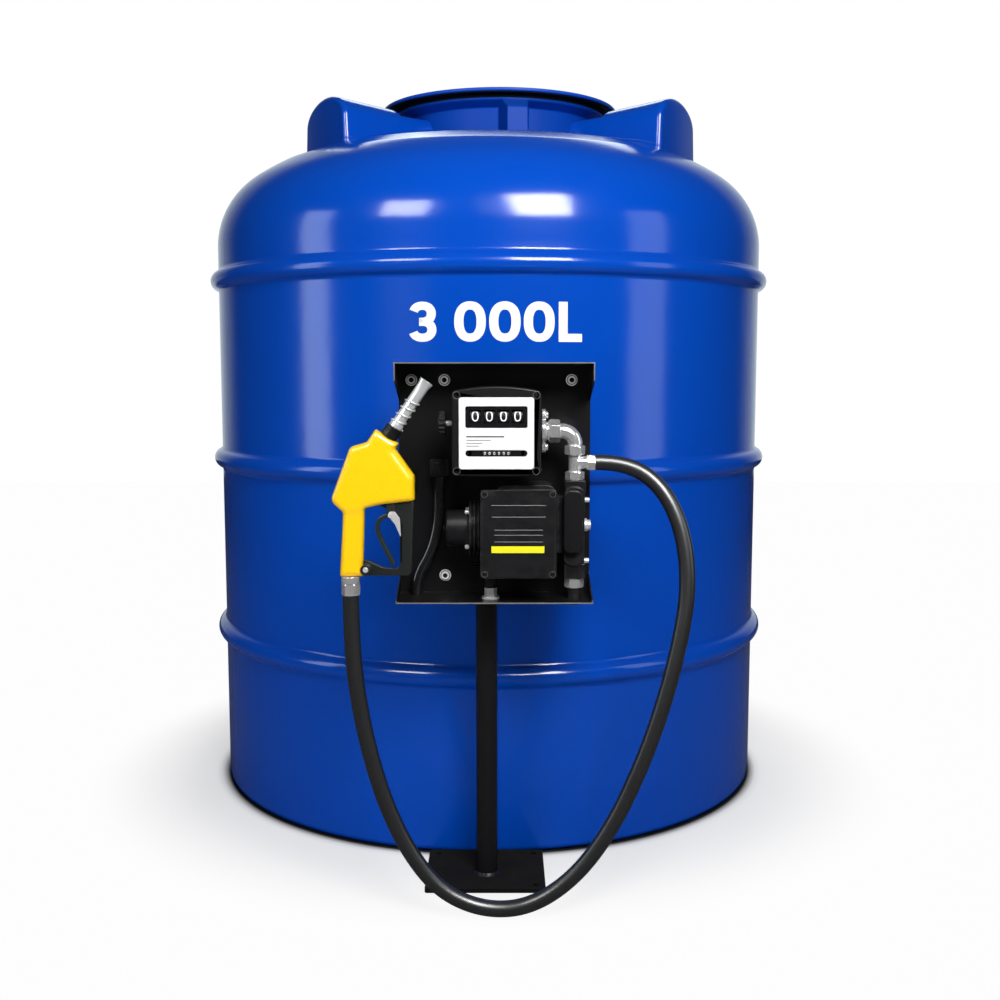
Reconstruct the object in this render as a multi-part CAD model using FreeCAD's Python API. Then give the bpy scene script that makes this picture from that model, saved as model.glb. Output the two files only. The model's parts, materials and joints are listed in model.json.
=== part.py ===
import FreeCAD, Part
import math
import os

# Diesel tank with pump, millimetres.
# Origin on the tank's axis at ground level, +Z up, the pump set stands on the -Y side.

# Clearances
SEAT = 0.3
PIN_GAP = 0.3
PIN_SLACK = 0.5

# Tank
TANK_R = 763.0
WALL = 8.0
FOOT_ROUND = 18.0
WALL_TOP = 1482.0
RIB_SHARES = (0.2908, 0.6127, 0.9393)
RIB_HEIGHTS = tuple(share * WALL_TOP for share in RIB_SHARES)
RIB_R = 25.0
RIB_PROUD = 22.0
RIB_FILLET = 12.0
SHOULDER_R = 218.0
SHOULDER_TURN = 57.0
CROWN_R = 396.0
CONE_SLOPE = 13.0

# Manhole on the roof, about its own centre line
TOP_X = 30.0
NECK_R = 271.0
NECK_H = 87.0
NECK_RIM_R = NECK_R + 29.0
NECK_RIM_H = 16.0
NECK_FLARE_H = 14.0
LID_R = NECK_R + 59.0
LID_T = 9.0
LID_EDGE_R = 3.0
LID_RAISE = 14.0
LID_BOSS_R = 60.0
LID_RIB_W = 16.0
LID_RIBS = 6
LID_PLUG_H = 20.0
LID_PLUG_WALL = 8.0
LUG_ANGLES = (8.0, 128.0, 248.0)
LUG_R = NECK_R + 69.0
LUG_ROOT_R = NECK_R - 3.0
LUG_W = 54.0
LUG_SPLAY = 10.0
LUG_DROP = 41.0
LUG_EDGE_R = 3.0

# Moulded humps round the manhole
HUMP_ANGLES = (-58.5, 61.5, 181.5)
HUMP_REACH = NECK_R + 269.0
HUMP_ROOT = NECK_R - 30.0
HUMP_NOTCH_R = NECK_R + 95.0
HUMP_W_OUT = 252.0
HUMP_W_IN = 150.0
HUMP_ARCH_OUT = 66.0
HUMP_ARCH_IN = 44.0
HUMP_DRAFT = 5.0
HUMP_DROP_OUT = 6.0
HUMP_DROP_IN = 32.0
HUMP_LEDGE_DROP = 49.0
HUMP_EDGE_R = 14.0
HUMP_SUNK = 60.0

# Pedestal, in front of the tank's wall
POST_X = 2.0
POST_Y = -(TANK_R + 127.0)
POST_R = 24.0
POST_TOP = 1140.0
POST_WALL = 3.0
POST_CAP_T = 4.0
BASE_X = -1.0
BASE_W = 268.0
BASE_T = 11.0
FOOT_REACH = TANK_R - FOOT_ROUND + math.sqrt(FOOT_ROUND ** 2 - (FOOT_ROUND - BASE_T) ** 2)
BASE_BACK = -(FOOT_REACH + SEAT)
BASE_FRONT = -(TANK_R + 216.0)
BASE_CORNER_R = 6.0
ANCHOR_INSET = 22.0
ANCHOR_HOLE_R = 6.5
WELD = 6.0

# Panel
PANEL_LEFT = -187.0
PANEL_RIGHT = 227.0
PANEL_LOW = 661.0
PANEL_HIGH = 1164.0
PANEL_BACK = -(TANK_R + 157.0)
PANEL_DEPTH = 125.0
SHEET = 3.0
PANEL_FACE = PANEL_BACK - SHEET
PANEL_FOLD_R = 5.0
PANEL_CORNER_R = 6.0
GUSSET_TOP_H = 80.0
GUSSET_TOP_FRONT = 38.0
GUSSET_LOW_H = 46.0
GUSSET_LOW_FRONT = 6.0
CROSS_BAR_H = 40.0
CROSS_BAR_T = 6.0
CROSS_BAR_MARGIN = 26.0
CROSS_BAR_SEAT = 10.0
BOLT_LEFT = -88.0
BOLT_RIGHT = 186.0
HANGER_BOLT_X = -159.0
BOLT_HIGH = 1127.0
BOLT_LOW = 702.0
BOLT_HEAD_R = 9.0
BOLT_HEAD_H = 6.0
SOCKET_DEEP = 3.5
WASHER_R = 12.5
WASHER_T = 2.0

# Meter
METER_X = 24.5
METER_Z = 1020.0
METER_HALF_W = 91.0
METER_SCREW_X = 81.0
METER_SCREW_Z = 77.0
METER_SCREW_R = 4.6
METER_BOSS_R = 10.5
METER_ARC_HIGH = 8.0
METER_ARC_LOW = 1.0
METER_BEVEL = 2.5
METER_BACK = PANEL_BACK - 88.0
METER_FRONT = METER_BACK - 74.0
CHAMBER_R = 74.0
CHAMBER_FOOT = 11.0
CHAMBER_EDGE_R = 8.0
PORT_R = 25.0
PORT_PROUD = 4.0
FACE_W = 153.0
FACE_H = 146.0
FACE_R = 6.0
FACE_PROUD = 5.0
COUNTER_Z = 1053.0
COUNTER_W = 126.0
COUNTER_H = 44.0
COUNTER_R = 4.0
COUNTER_DEEP = 37.0
TOTAL_Z = 979.5
TOTAL_W = 126.0
TOTAL_H = 13.0
TOTAL_DEEP = 12.0
DRUM_COUNT = 4
DRUM_R = 19.0
DRUM_SUNK = 2.0
DRUM_PITCH = 28.7
DRUM_W = 20.0
SPINDLE_R = 4.0
SMALL_COUNT = 6
SMALL_R = 5.5
SMALL_LEFT = METER_X - 27.8
SMALL_PITCH = 9.6
SMALL_W = 8.4
KNOB_Z = 1038.0
KNOB_Y = METER_BACK - 22.0
KNOB_R = 27.0
KNOB_L = 16.0
KNOB_RIBS = 16
KNOB_RIB_R = 3.2
KNOB_SHAFT_R = 6.0
KNOB_STANDOFF = 13.0

# Pump
PUMP_Y = PANEL_BACK - 65.0
MOTOR_Z = 814.0
MOTOR_R = 39.0
MOTOR_LEFT = -82.0
MOTOR_RIGHT = -33.0
END_SCREW_R = 6.0
TIE_BOLT_ANGLES = (35.0, 145.0, 215.0, 325.0)
TIE_BOLT_R = 4.5
TIE_BOLT_L = 9.0
FINS_R = 59.0
FINS_RIGHT = 24.0
FIN_PITCH = 9.0
FIN_T = 4.0
FIN_DEEP = 7.0
PUMP_LEFT = 24.0
PUMP_RIGHT = 148.0
PUMP_LOW = 735.0
PUMP_HIGH = 911.0
PUMP_BEHIND = 46.0
PUMP_CORNER_R = 20.0
PUMP_FOOT_H = 30.0
FOOT_X = 12.0
FOOT_Y = PANEL_BACK - 79.0
FOOT_STUB_R = 13.0
FOOT_COLLAR_R = 19.0
FOOT_COLLAR_T = 5.0
FOOT_NUT_AF = 24.0
FOOT_NUT_H = 24.0
BOX_LEFT = -9.0
BOX_RIGHT = 149.0
BOX_LOW = 720.0
BOX_HIGH = 904.0
BOX_BACK = PANEL_BACK - 124.0
BOX_FRONT = BOX_BACK - 26.0
BOX_INSET = 3.0
COVER_T = 5.0
COVER_R = 7.0
COVER_EDGE_R = 1.5
COVER_SCREW_INSET = 9.0
COVER_SCREW_R = 4.5
SCREW_SUNK = 3.0

# Manifold and the riser above it
RISER_X = 189.0
RISER_Y = PANEL_BACK - 80.0
MANIFOLD_LOW = 711.0
MANIFOLD_HIGH = 918.0
FLANGE_HALF = 22.5
LOW_FLANGE_T = 31.0
HIGH_FLANGE_T = 26.0
LINK_LOW = 765.0
LINK_HIGH = 885.0
SIDE_COVER_LOW = 768.0
SIDE_COVER_HIGH = 899.0
SIDE_COVER_T = 16.0
RELIEF_Z = 823.0
RELIEF_R = 14.0
STUD_HEIGHTS = (877.0, 748.5)
STUD_R = 5.5
PIPE_R = 14.0
PIPE_WALL = 3.0
PIPE_BELOW = 8.0
HEX_AF = 36.0
BIG_HEX_AF = 43.0
HOSE_NUT_AF = 31.0
INLET_HEX_H = 22.0
LOWER_HEX_H = 18.0
UPPER_HEX_LOW = 971.0
UPPER_HEX_H = 20.0
TEE_R = 13.5
TEE_Z = 955.0
BRANCH_L = 25.0
TUBE_R = 16.0
ELBOW_R = 28.0
METER_PORT_Z = 1021.0
UNION_L = 24.0
EAR_REACH = 34.0
EAR_R = 12.0
EAR_T = 8.0
FERRULE_END = 232.0

# Hose: outer radius and the points of its route, X, distance in front of the riser, Z
HOSE_R = 17.0
HOSE_ROUTE = (
    (232.0, 0.0, 955.0),
    (300.0, 0.0, 955.0),
    (372.0, 24.0, 905.0),
    (413.0, 45.0, 815.0),
    (424.0, 62.0, 700.0),
    (404.0, 78.0, 580.0),
    (366.0, 90.0, 440.0),
    (322.0, 98.0, 320.0),
    (266.0, 104.0, 200.0),
    (192.0, 108.0, 96.0),
    (98.0, 110.0, 30.0),
    (0.0, 110.0, 22.0),
    (-92.0, 108.0, 62.0),
    (-158.0, 104.0, 144.0),
    (-210.0, 99.0, 256.0),
    (-246.0, 94.0, 384.0),
    (-268.0, 89.0, 510.0),
    (-275.0, 85.0, 620.0),
    (-275.0, 85.0, 688.0),
)

# Power cable, held at both ends, X and Z
CABLE_R = 12.0
CABLE_Y = PANEL_BACK - 27.0
CABLE_ROUTE = (
    (-99.0, 920.7),
    (-99.0, 868.0),
    (-102.0, 812.0),
    (-118.0, 754.0),
    (-149.0, 702.0),
    (-149.0, 664.3),
)
SWITCH_LEFT = -118.0
SWITCH_MIDDLE = -92.0
SWITCH_RIGHT = -78.0
SWITCH_LOW = 921.0
SWITCH_HIGH = 958.0
SWITCH_OUT = 39.0
SWITCH_SIDE_OUT = 27.0
SWITCH_R = 5.0

# Nozzle, drawn in the XZ plane through its middle
NOZZLE_Y = RISER_Y - 85.0
BODY_HALF = 21.0
HANDLE_HALF = 18.0
HANDLE_RIGHT = -240.0
HANDLE_TOP = 862.0
BODY_POINTS = (
    (-220.0, 1029.0), (-174.0, 1000.0), (-179.5, 988.0), (-142.0, 935.0), (-142.0, 884.0), (-210.0, 876.0),
    (-244.0, 868.0), (-249.0, 728.0), (-296.0, 728.0), (-288.0, 860.0), (-313.0, 884.0), (-272.0, 993.0),
    (-238.0, 1003.0),
)
BODY_RADII = (2.0, 2.0, 5.0, 8.0, 4.0, 60.0, 8.0, 3.0, 3.0, 10.0, 16.0, 14.0, 10.0)
UNDERSIDE_RIGHT = BODY_POINTS[4]
UNDERSIDE_LEFT = BODY_POINTS[5]
GUARD_HALF = 7.0
GUARD_POINTS = (
    (-144.0, 882.0), (-150.0, 729.0), (-256.0, 729.0), (-251.0, 763.0), (-238.0, 760.0), (-207.0, 746.0),
    (-178.0, 743.0), (-168.5, 760.0), (-168.0, 838.0), (-190.0, 862.5), (-208.0, 871.0), (-234.0, 873.0),
)
GUARD_RADII = (4.0, 10.0, 10.0, 6.0, 4.0, 24.0, 10.0, 12.0, 14.0, 10.0, 12.0, 4.0)
LOBE_R = 11.0
LOBE_T = 2.0
LEVER_PIVOT_X = -191.0
LEVER_PIVOT_Z = 854.0
LEVER_HALF = 6.5
LEVER_T = 8.6
LEVER_POINTS = ((-191.0, 854.0), (-212.0, 849.0), (-221.0, 828.0), (-208.0, 794.0), (-187.0, 754.0))
LEVER_SWING = 20.0
LATCH_T = 3.0
LATCH_POINTS = (
    (-198.0, 862.0), (-182.0, 862.0), (-172.0, 848.0), (-169.5, 807.0), (-182.0, 836.0), (-190.0, 846.0),
)
LATCH_RADII = (5.0, 5.0, 5.0, 1.0, 12.0, 5.0)
PIN_R = 3.0
PIN_BORE_R = PIN_R + 0.05
EYE_R = 7.0
CHEEK_T = 3.0
CHEEK_R = 8.0
CHEEK_H = 30.0
RIVET_X = -242.0
RIVET_Z = 743.0
RIVET_R = 4.0
RIVET_HEAD_T = 1.5
SPOUT_ANGLE = 35.0
SPOUT_R = 12.5
SPOUT_WALL = 2.0
SPOUT_L = 132.0
SPOUT_ROOT_X = -190.0
SPOUT_ROOT_Z = 1020.0
SPOUT_LIP = 3.0
COLLAR_R = 18.0
COLLAR_L = 12.0
COLLAR_SUNK = 8.0
COIL_WIRE_R = 1.5
COIL_PITCH = 17.6
COIL_TURNS = 4
SWIVEL_X = HOSE_ROUTE[-1][0]
SWIVEL_TOP = 727.0
SWIVEL_R = 19.5
SWIVEL_H = 14.0
SWIVEL_NUT_AF = 34.0

# Nozzle's holder
HOLDER_T = 4.0
HOLDER_LEFT = -262.0
HOLDER_RIGHT = -156.0
HOLDER_LOW = 874.0
HOLDER_HIGH = 972.0
HOLDER_ARM_LOW = 886.0
HOLDER_ARM_HIGH = 934.0
HOLDER_ARM_W = 38.0
HOLDER_WEB_LEFT = -210.0
HOLDER_WEB_H = 16.0

X = FreeCAD.Vector(1, 0, 0)
Y = FreeCAD.Vector(0, 1, 0)
Z = FreeCAD.Vector(0, 0, 1)


def at(x, y, z):
    return FreeCAD.Vector(x, y, z)


# Basic solids


def block(x0, x1, y0, y1, z0, z1):
    return Part.makeBox(x1 - x0, y1 - y0, z1 - z0, at(x0, y0, z0))


def rod(start, direction, radius, length):
    return Part.makeCylinder(radius, length, start, direction)


def tube(start, direction, outer, inner, length):
    return rod(start, direction, outer, length).cut(rod(start, direction, inner, length))


def cone(start, direction, r0, r1, length):
    return Part.makeCone(r0, r1, length, start, direction)


def joined(shapes):
    """One solid from shapes that overlap, with no leftover seams."""
    return shapes[0].multiFuse(list(shapes[1:])).removeSplitter()


def group(shapes):
    return Part.makeCompound(list(shapes))


def hexagon(start, direction, across_flats, length, turn=0.0):
    """A hexagonal bar along X, Y or Z from its start point."""
    corner = across_flats / math.sqrt(3)
    if abs(direction.z) > 0.5:
        side, up = X, Y
    elif abs(direction.x) > 0.5:
        side, up = Y, Z
    else:
        side, up = X, Z
    points = []
    for i in range(7):
        a = math.radians(60 * i + turn)
        points.append(start + side * (corner * math.cos(a)) + up * (corner * math.sin(a)))
    face = Part.Face(Part.makePolygon(points))
    bar = face.extrude(direction * length)
    ends = chamfer_ring(start, direction, corner, length)
    return bar.common(ends)


def chamfer_ring(start, direction, corner, length):
    """A round bar with bevelled ends, which takes the tips off a hexagon's corners."""
    bevel = corner * 0.12
    body = rod(start + direction * bevel, direction, corner, length - 2 * bevel)
    low = cone(start, direction, corner - bevel, corner, bevel)
    high = cone(start + direction * (length - bevel), direction, corner, corner - bevel, bevel)
    return joined([body, low, high])


def plate_xz(points, y0, y1):
    """A plate with a straight-sided outline in the XZ plane."""
    closed = [at(x, y0, z) for x, z in points]
    closed.append(closed[0])
    return Part.Face(Part.makePolygon(closed)).extrude(Y * (y1 - y0))


def rounded_outline(points, radii, y):
    """A closed wire in the XZ plane, each corner rounded by its own radius."""
    count = len(points)
    edges = []
    last = None
    first = None
    for i in range(count):
        before = at(points[i - 1][0], y, points[i - 1][1])
        here = at(points[i][0], y, points[i][1])
        after = at(points[(i + 1) % count][0], y, points[(i + 1) % count][1])
        start, end, middle = corner_arc(before, here, after, radii[i])
        if last is not None and last.distanceToPoint(start) > 1e-6:
            edges.append(Part.LineSegment(last, start).toShape())
        if middle is not None:
            edges.append(Part.Arc(start, middle, end).toShape())
        if first is None:
            first = start
        last = end
    if last.distanceToPoint(first) > 1e-6:
        edges.append(Part.LineSegment(last, first).toShape())
    return Part.Wire(edges)


def corner_arc(before, here, after, radius):
    """Start, end and middle of the arc that rounds one corner of a path."""
    to_before = (before - here).normalize()
    to_after = (after - here).normalize()
    half = 0.5 * to_before.getAngle(to_after)
    if radius <= 0 or math.pi / 2 - half < 1e-4:
        return here, here, None
    reach = radius / math.tan(half)
    start = here + to_before * reach
    end = here + to_after * reach
    inward = (to_before + to_after).normalize()
    middle = here + inward * (radius / math.sin(half) - radius)
    return start, end, middle


def rounded_plate(points, radii, y0, y1):
    face = Part.Face(rounded_outline(points, radii, y0))
    return face.extrude(Y * (y1 - y0))


def rounded_box_xz(x0, x1, z0, z1, radius, y0, y1):
    points = ((x0, z0), (x1, z0), (x1, z1), (x0, z1))
    return rounded_plate(points, (radius,) * 4, y0, y1)


def turned(shape, degrees, x=0.0):
    """A copy turned about the vertical line through x, counted from the front."""
    copy = shape.copy()
    copy.rotate(at(x, 0, 0), Z, degrees)
    return copy


def softened(shape, radius, keep):
    """The shape with the edges chosen by keep rounded."""
    edges = [e for e in shape.Edges if keep(e)]
    return shape.makeFillet(radius, edges) if edges else shape


def face_turned(points):
    """A solid of revolution about the tank's axis from edges in the XZ half plane."""
    return Part.Face(Part.Wire(points)).revolve(at(0, 0, 0), Z, 360)


def line(a, b):
    return Part.LineSegment(at(a[0], 0, a[1]), at(b[0], 0, b[1])).toShape()


def arc(centre, radius, a0, a1):
    """An arc in the XZ plane, its angles counted from +X towards +Z."""
    points = []
    for a in (a0, 0.5 * (a0 + a1), a1):
        turn = math.radians(a)
        points.append(at(centre[0] + radius * math.cos(turn), 0, centre[1] + radius * math.sin(turn)))
    return Part.Arc(*points).toShape(), (points[0].x, points[0].z), (points[2].x, points[2].z)


# Tank


def rib_edges(height, inset):
    """One rib of the wall seen in section, from its lower foot to its upper foot."""
    crest_x = TANK_R + RIB_PROUD - RIB_R
    foot_x = TANK_R + RIB_FILLET
    rise = math.sqrt((RIB_R + RIB_FILLET) ** 2 - (foot_x - crest_x) ** 2)
    lean = math.degrees(math.atan2(rise, foot_x - crest_x))
    foot = RIB_FILLET + inset
    low = arc((foot_x, height - rise), foot, 180, 180 - lean)
    crest = arc((crest_x, height), RIB_R - inset, -lean, lean)
    high = arc((foot_x, height + rise), foot, 180 + lean, 180)
    return [low[0], crest[0], high[0]], low[1], high[2]


def wall_outline(inset, bottom):
    """The wall's side in section from bottom to top, offset inwards by inset."""
    edges = []
    point = (TANK_R - inset, bottom)
    start = point
    for height in RIB_HEIGHTS:
        rib, low, high = rib_edges(height, inset)
        edges.append(line(point, low))
        edges.extend(rib)
        point = high
    end = (TANK_R - inset, WALL_TOP)
    edges.append(line(point, end))
    return edges, start, end


def make_tank_wall():
    outer, outer_low, outer_high = wall_outline(0.0, FOOT_ROUND)
    inner, inner_low, inner_high = wall_outline(WALL, FOOT_ROUND)
    ends = [line(outer_high, inner_high), line(inner_low, outer_low)]
    edges = Part.__sortEdges__(outer + inner + ends)
    return face_turned(edges)


def make_tank_floor():
    """The flat floor and the rounded edge that carries the wall."""
    centre = (TANK_R - FOOT_ROUND, FOOT_ROUND)
    outer, outer_low, outer_high = arc(centre, FOOT_ROUND, -90, 0)
    inner, inner_low, inner_high = arc(centre, FOOT_ROUND - WALL, -90, 0)
    edges = [line((0, 0), outer_low), outer, line(outer_high, inner_high), inner,
             line(inner_low, (0, WALL)), line((0, WALL), (0, 0))]
    return face_turned(Part.__sortEdges__(edges))


def roof_profile(inset):
    """The roof in section: its shoulder arc and the crown arc, which ends at the cone."""
    turn = math.radians(SHOULDER_TURN)
    shoulder_x = TANK_R - SHOULDER_R
    shoulder = arc((shoulder_x, WALL_TOP), SHOULDER_R - inset, 0, SHOULDER_TURN)
    step = SHOULDER_R - CROWN_R
    centre = (shoulder_x + step * math.cos(turn), WALL_TOP + step * math.sin(turn))
    crown = arc(centre, CROWN_R - inset, SHOULDER_TURN, 90.0 - CONE_SLOPE)
    return shoulder, crown


def cone_rise(distance):
    return distance * math.tan(math.radians(CONE_SLOPE))


def dome_solid(inset):
    shoulder, crown = roof_profile(inset)
    top = crown[2]
    foot = shoulder[1]
    apex = (0, top[1] + cone_rise(top[0]))
    edges = [shoulder[0], crown[0], line(top, apex), line(apex, (0, foot[1])), line((0, foot[1]), foot)]
    return face_turned(edges)


def roof_height(radius):
    """Height of the roof's cone at a distance from the tank's axis."""
    top = roof_profile(0.0)[1][2]
    return top[1] + cone_rise(top[0] - radius)


def neck_top():
    return roof_height(NECK_R) + NECK_H


def hump_section(distance, half_width, arch, top):
    """A tombstone outline at a distance from the centre: drafted sides under a low arch."""
    spring = top - arch
    base = WALL_TOP + HUMP_SUNK
    spread = (spring - base) * math.tan(math.radians(HUMP_DRAFT))
    left = at(-half_width, -distance, spring)
    right = at(half_width, -distance, spring)
    low = at(-half_width - spread, -distance, base)
    end = at(half_width + spread, -distance, base)
    crown = Part.Ellipse(right, at(0, -distance, top), at(0, -distance, spring))
    return Part.Wire([
        Part.LineSegment(end, right).toShape(),
        crown.toShape(0, math.pi),
        Part.LineSegment(left, low).toShape(),
        Part.LineSegment(low, end).toShape(),
    ])


def hump(inset):
    """One hump: a tunnel that narrows towards the neck and steps down before the lid."""
    top = neck_top() - inset
    outer = hump_section(HUMP_REACH - inset, HUMP_W_OUT / 2 - inset, HUMP_ARCH_OUT - inset,
                         top - HUMP_DROP_OUT)
    inner = hump_section(HUMP_ROOT, HUMP_W_IN / 2 - inset, HUMP_ARCH_IN - inset, top - HUMP_DROP_IN)
    solid = Part.makeLoft([outer, inner], True, True)
    if not inset:
        base = WALL_TOP + HUMP_SUNK
        solid = softened(solid, HUMP_EDGE_R,
                         lambda e: e.BoundBox.YMax < -HUMP_REACH + 1 and e.BoundBox.ZMax > base + 1)
    notch = rod(at(0, 0, top - HUMP_LEDGE_DROP), Z, HUMP_NOTCH_R + inset, NECK_H)
    return solid.cut(notch)


def make_tank_roof():
    outer = [dome_solid(0.0)]
    inner = [dome_solid(WALL)]
    for angle in HUMP_ANGLES:
        for shapes, inset in ((outer, 0.0), (inner, WALL)):
            piece = hump(inset)
            piece.rotate(at(0, 0, 0), Z, angle)
            piece.translate(at(TOP_X, 0, 0))
            shapes.append(piece)
    core = rod(at(TOP_X, 0, WALL_TOP), Z, NECK_R, neck_top())
    return joined(outer).cut(joined(inner)).cut(core)


def neck_outline(inset):
    """The neck's side from its foot to its rim, offset inwards by inset."""
    low = roof_height(NECK_R + abs(TOP_X)) - 2 * WALL
    rim = neck_top() - NECK_RIM_H
    lift = 0.6 * inset
    return [(NECK_R - inset, low), (NECK_R - inset, rim - NECK_FLARE_H + lift),
            (NECK_RIM_R - inset, rim + lift), (NECK_RIM_R - inset, neck_top())]


def make_manhole_neck():
    points = neck_outline(0.0) + neck_outline(WALL)[::-1]
    edges = [line(a, b) for a, b in zip(points, points[1:] + points[:1])]
    neck = face_turned(edges)
    neck.translate(at(TOP_X, 0, 0))
    return joined([neck] + neck_lugs())


def neck_lugs():
    """Stiffening lugs moulded on the neck, slanted from its rim to their upright fronts."""
    low = roof_height(LUG_R + abs(TOP_X)) - WALL
    rim = neck_top() - NECK_RIM_H + 1
    wide = LUG_W / 2 + (LUG_R - LUG_ROOT_R) * math.tan(math.radians(LUG_SPLAY))
    plan = [at(-LUG_W / 2, -LUG_R, low), at(LUG_W / 2, -LUG_R, low), at(wide, -LUG_ROOT_R, low),
            at(-wide, -LUG_ROOT_R, low)]
    side = [at(-wide, -LUG_R, low), at(-wide, -LUG_R, neck_top() - LUG_DROP),
            at(-wide, -NECK_RIM_R + 2, rim), at(-wide, -LUG_ROOT_R, rim), at(-wide, -LUG_ROOT_R, low)]
    block_up = Part.Face(Part.makePolygon(plan + plan[:1])).extrude(Z * (rim - low))
    slant = Part.Face(Part.makePolygon(side + side[:1])).extrude(X * (2 * wide))
    lug = block_up.common(slant)
    lug = softened(lug, LUG_EDGE_R, lambda e: e.BoundBox.YMax < -LUG_R + 1 and e.BoundBox.ZLength > 5)
    lugs = []
    for angle in LUG_ANGLES:
        copy = turned(lug, angle)
        copy.translate(at(TOP_X, 0, 0))
        lugs.append(copy.cut(dome_solid(-SEAT)))
    return lugs


def make_manhole_lid():
    low = neck_top() + SEAT
    high = low + LID_T
    centre = at(TOP_X, 0, low)
    disc = rod(centre, Z, LID_R, LID_T)
    disc = softened(disc, LID_EDGE_R,
                    lambda e: abs(e.BoundBox.ZMin - high) < 0.1 and e.BoundBox.ZLength < 0.1)
    rise = cone(at(TOP_X, 0, high - 1), Z, LID_R * 0.8, LID_R * 0.72, LID_RAISE)
    boss = rod(at(TOP_X, 0, high), Z, LID_BOSS_R, LID_RAISE + 6)
    plug_r = NECK_R - WALL - 2
    plug = rod(at(TOP_X, 0, low - LID_PLUG_H), Z, plug_r, LID_PLUG_H + 1)
    hollow = rod(at(TOP_X, 0, low - LID_PLUG_H - 1), Z, plug_r - LID_PLUG_WALL, LID_PLUG_H + 1)
    ribs = []
    for i in range(LID_RIBS):
        half = LID_RIB_W / 2
        rib = block(0.75 * LID_BOSS_R, LID_R * 0.66, -half, half, high, high + LID_RAISE + 3)
        rib.rotate(at(0, 0, 0), Z, 360.0 / LID_RIBS * i)
        rib.translate(at(TOP_X, 0, 0))
        ribs.append(rib)
    return joined([disc, rise, boss, plug.cut(hollow)] + ribs)


# Pedestal


def anchor_places():
    half = BASE_W / 2 - ANCHOR_INSET
    rows = (BASE_FRONT + ANCHOR_INSET, BASE_BACK - ANCHOR_INSET)
    return [(BASE_X + side * half, y) for side in (-1, 1) for y in rows]


def make_base_plate():
    plate = block(BASE_X - BASE_W / 2, BASE_X + BASE_W / 2, BASE_FRONT, BASE_BACK, 0, BASE_T)
    plate = softened(plate, BASE_CORNER_R, lambda e: e.BoundBox.ZLength > BASE_T - 1)
    for x, y in anchor_places():
        plate = plate.cut(rod(at(x, y, -1), Z, ANCHOR_HOLE_R, BASE_T + 2))
    return plate


def make_post():
    foot = at(POST_X, POST_Y, BASE_T)
    pipe = tube(foot, Z, POST_R, POST_R - POST_WALL, POST_TOP - BASE_T)
    cap = rod(at(POST_X, POST_Y, POST_TOP - POST_CAP_T), Z, POST_R, POST_CAP_T)
    weld = cone(foot, Z, POST_R + WELD, POST_R, WELD)
    weld = weld.cut(rod(foot, Z, POST_R - POST_WALL, WELD))
    return joined([pipe, cap, weld] + cross_bars())


def cross_bars():
    """Two flat bars welded across the post, which carry the panel's bolts."""
    bars = []
    for height in (BOLT_LOW, BOLT_HIGH):
        low = height - CROSS_BAR_H / 2
        high = low + CROSS_BAR_H
        bar = block(BOLT_LEFT - CROSS_BAR_MARGIN, BOLT_RIGHT + CROSS_BAR_MARGIN, PANEL_BACK,
                    PANEL_BACK + CROSS_BAR_T, low, high)
        seat = block(POST_X - CROSS_BAR_SEAT, POST_X + CROSS_BAR_SEAT, PANEL_BACK,
                     POST_Y - POST_R + POST_WALL, low, high)
        bars.extend([bar, seat])
    return bars


# Panel


def make_panel():
    """One folded sheet: back, canopy, shelf and the four side gussets."""
    front = PANEL_BACK - PANEL_DEPTH
    outer = block(PANEL_LEFT, PANEL_RIGHT, front, PANEL_BACK, PANEL_LOW, PANEL_HIGH)
    width = PANEL_RIGHT - PANEL_LEFT
    outer = softened(outer, PANEL_FOLD_R,
                     lambda e: e.BoundBox.YMin > PANEL_BACK - 1 and e.BoundBox.XLength > width / 2)
    hollow = block(PANEL_LEFT + SHEET, PANEL_RIGHT - SHEET, front - 1, PANEL_FACE,
                   PANEL_LOW + SHEET, PANEL_HIGH - SHEET)
    sides = [
        (PANEL_FACE, PANEL_HIGH - GUSSET_TOP_H),
        (front - 1, PANEL_HIGH - GUSSET_TOP_FRONT),
        (front - 1, PANEL_LOW + GUSSET_LOW_FRONT),
        (PANEL_FACE, PANEL_LOW + GUSSET_LOW_H),
    ]
    points = [at(PANEL_LEFT - 1, y, z) for y, z in sides]
    points.append(points[0])
    opening = Part.Face(Part.makePolygon(points)).extrude(X * (width + 2))
    sheet = outer.cut(hollow).cut(opening)
    sheet = softened(sheet, PANEL_CORNER_R, lambda e: front_corner(e, front))
    hole = rod(at(RISER_X, RISER_Y, PANEL_LOW - 1), Z, PIPE_R + SEAT, SHEET + 2)
    return sheet.cut(hole)


def front_corner(edge, front):
    box = edge.BoundBox
    at_front = box.YMax < front + 1
    upright = abs(box.ZLength - SHEET) < 0.1 and box.XLength < 0.1
    at_side = min(abs(box.XMin - PANEL_LEFT), abs(box.XMax - PANEL_RIGHT)) < 0.1
    return at_front and upright and at_side


def bolt(x, z, face):
    """A washer and a cap head with a hexagon socket, seated on a face that looks to the front."""
    washer = rod(at(x, face, z), -Y, WASHER_R, WASHER_T)
    head = rod(at(x, face - WASHER_T, z), -Y, BOLT_HEAD_R, BOLT_HEAD_H)
    socket = hexagon(at(x, face - WASHER_T - BOLT_HEAD_H - 1, z), Y, BOLT_HEAD_R, SOCKET_DEEP + 1)
    return joined([washer, head]).cut(socket)


def make_panel_bolts():
    places = [(x, z) for x in (BOLT_LEFT, BOLT_RIGHT) for z in (BOLT_LOW, BOLT_HIGH)]
    places.append((HANGER_BOLT_X, BOLT_HIGH))
    return group([bolt(x, z, PANEL_FACE) for x, z in places])


# Meter


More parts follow.
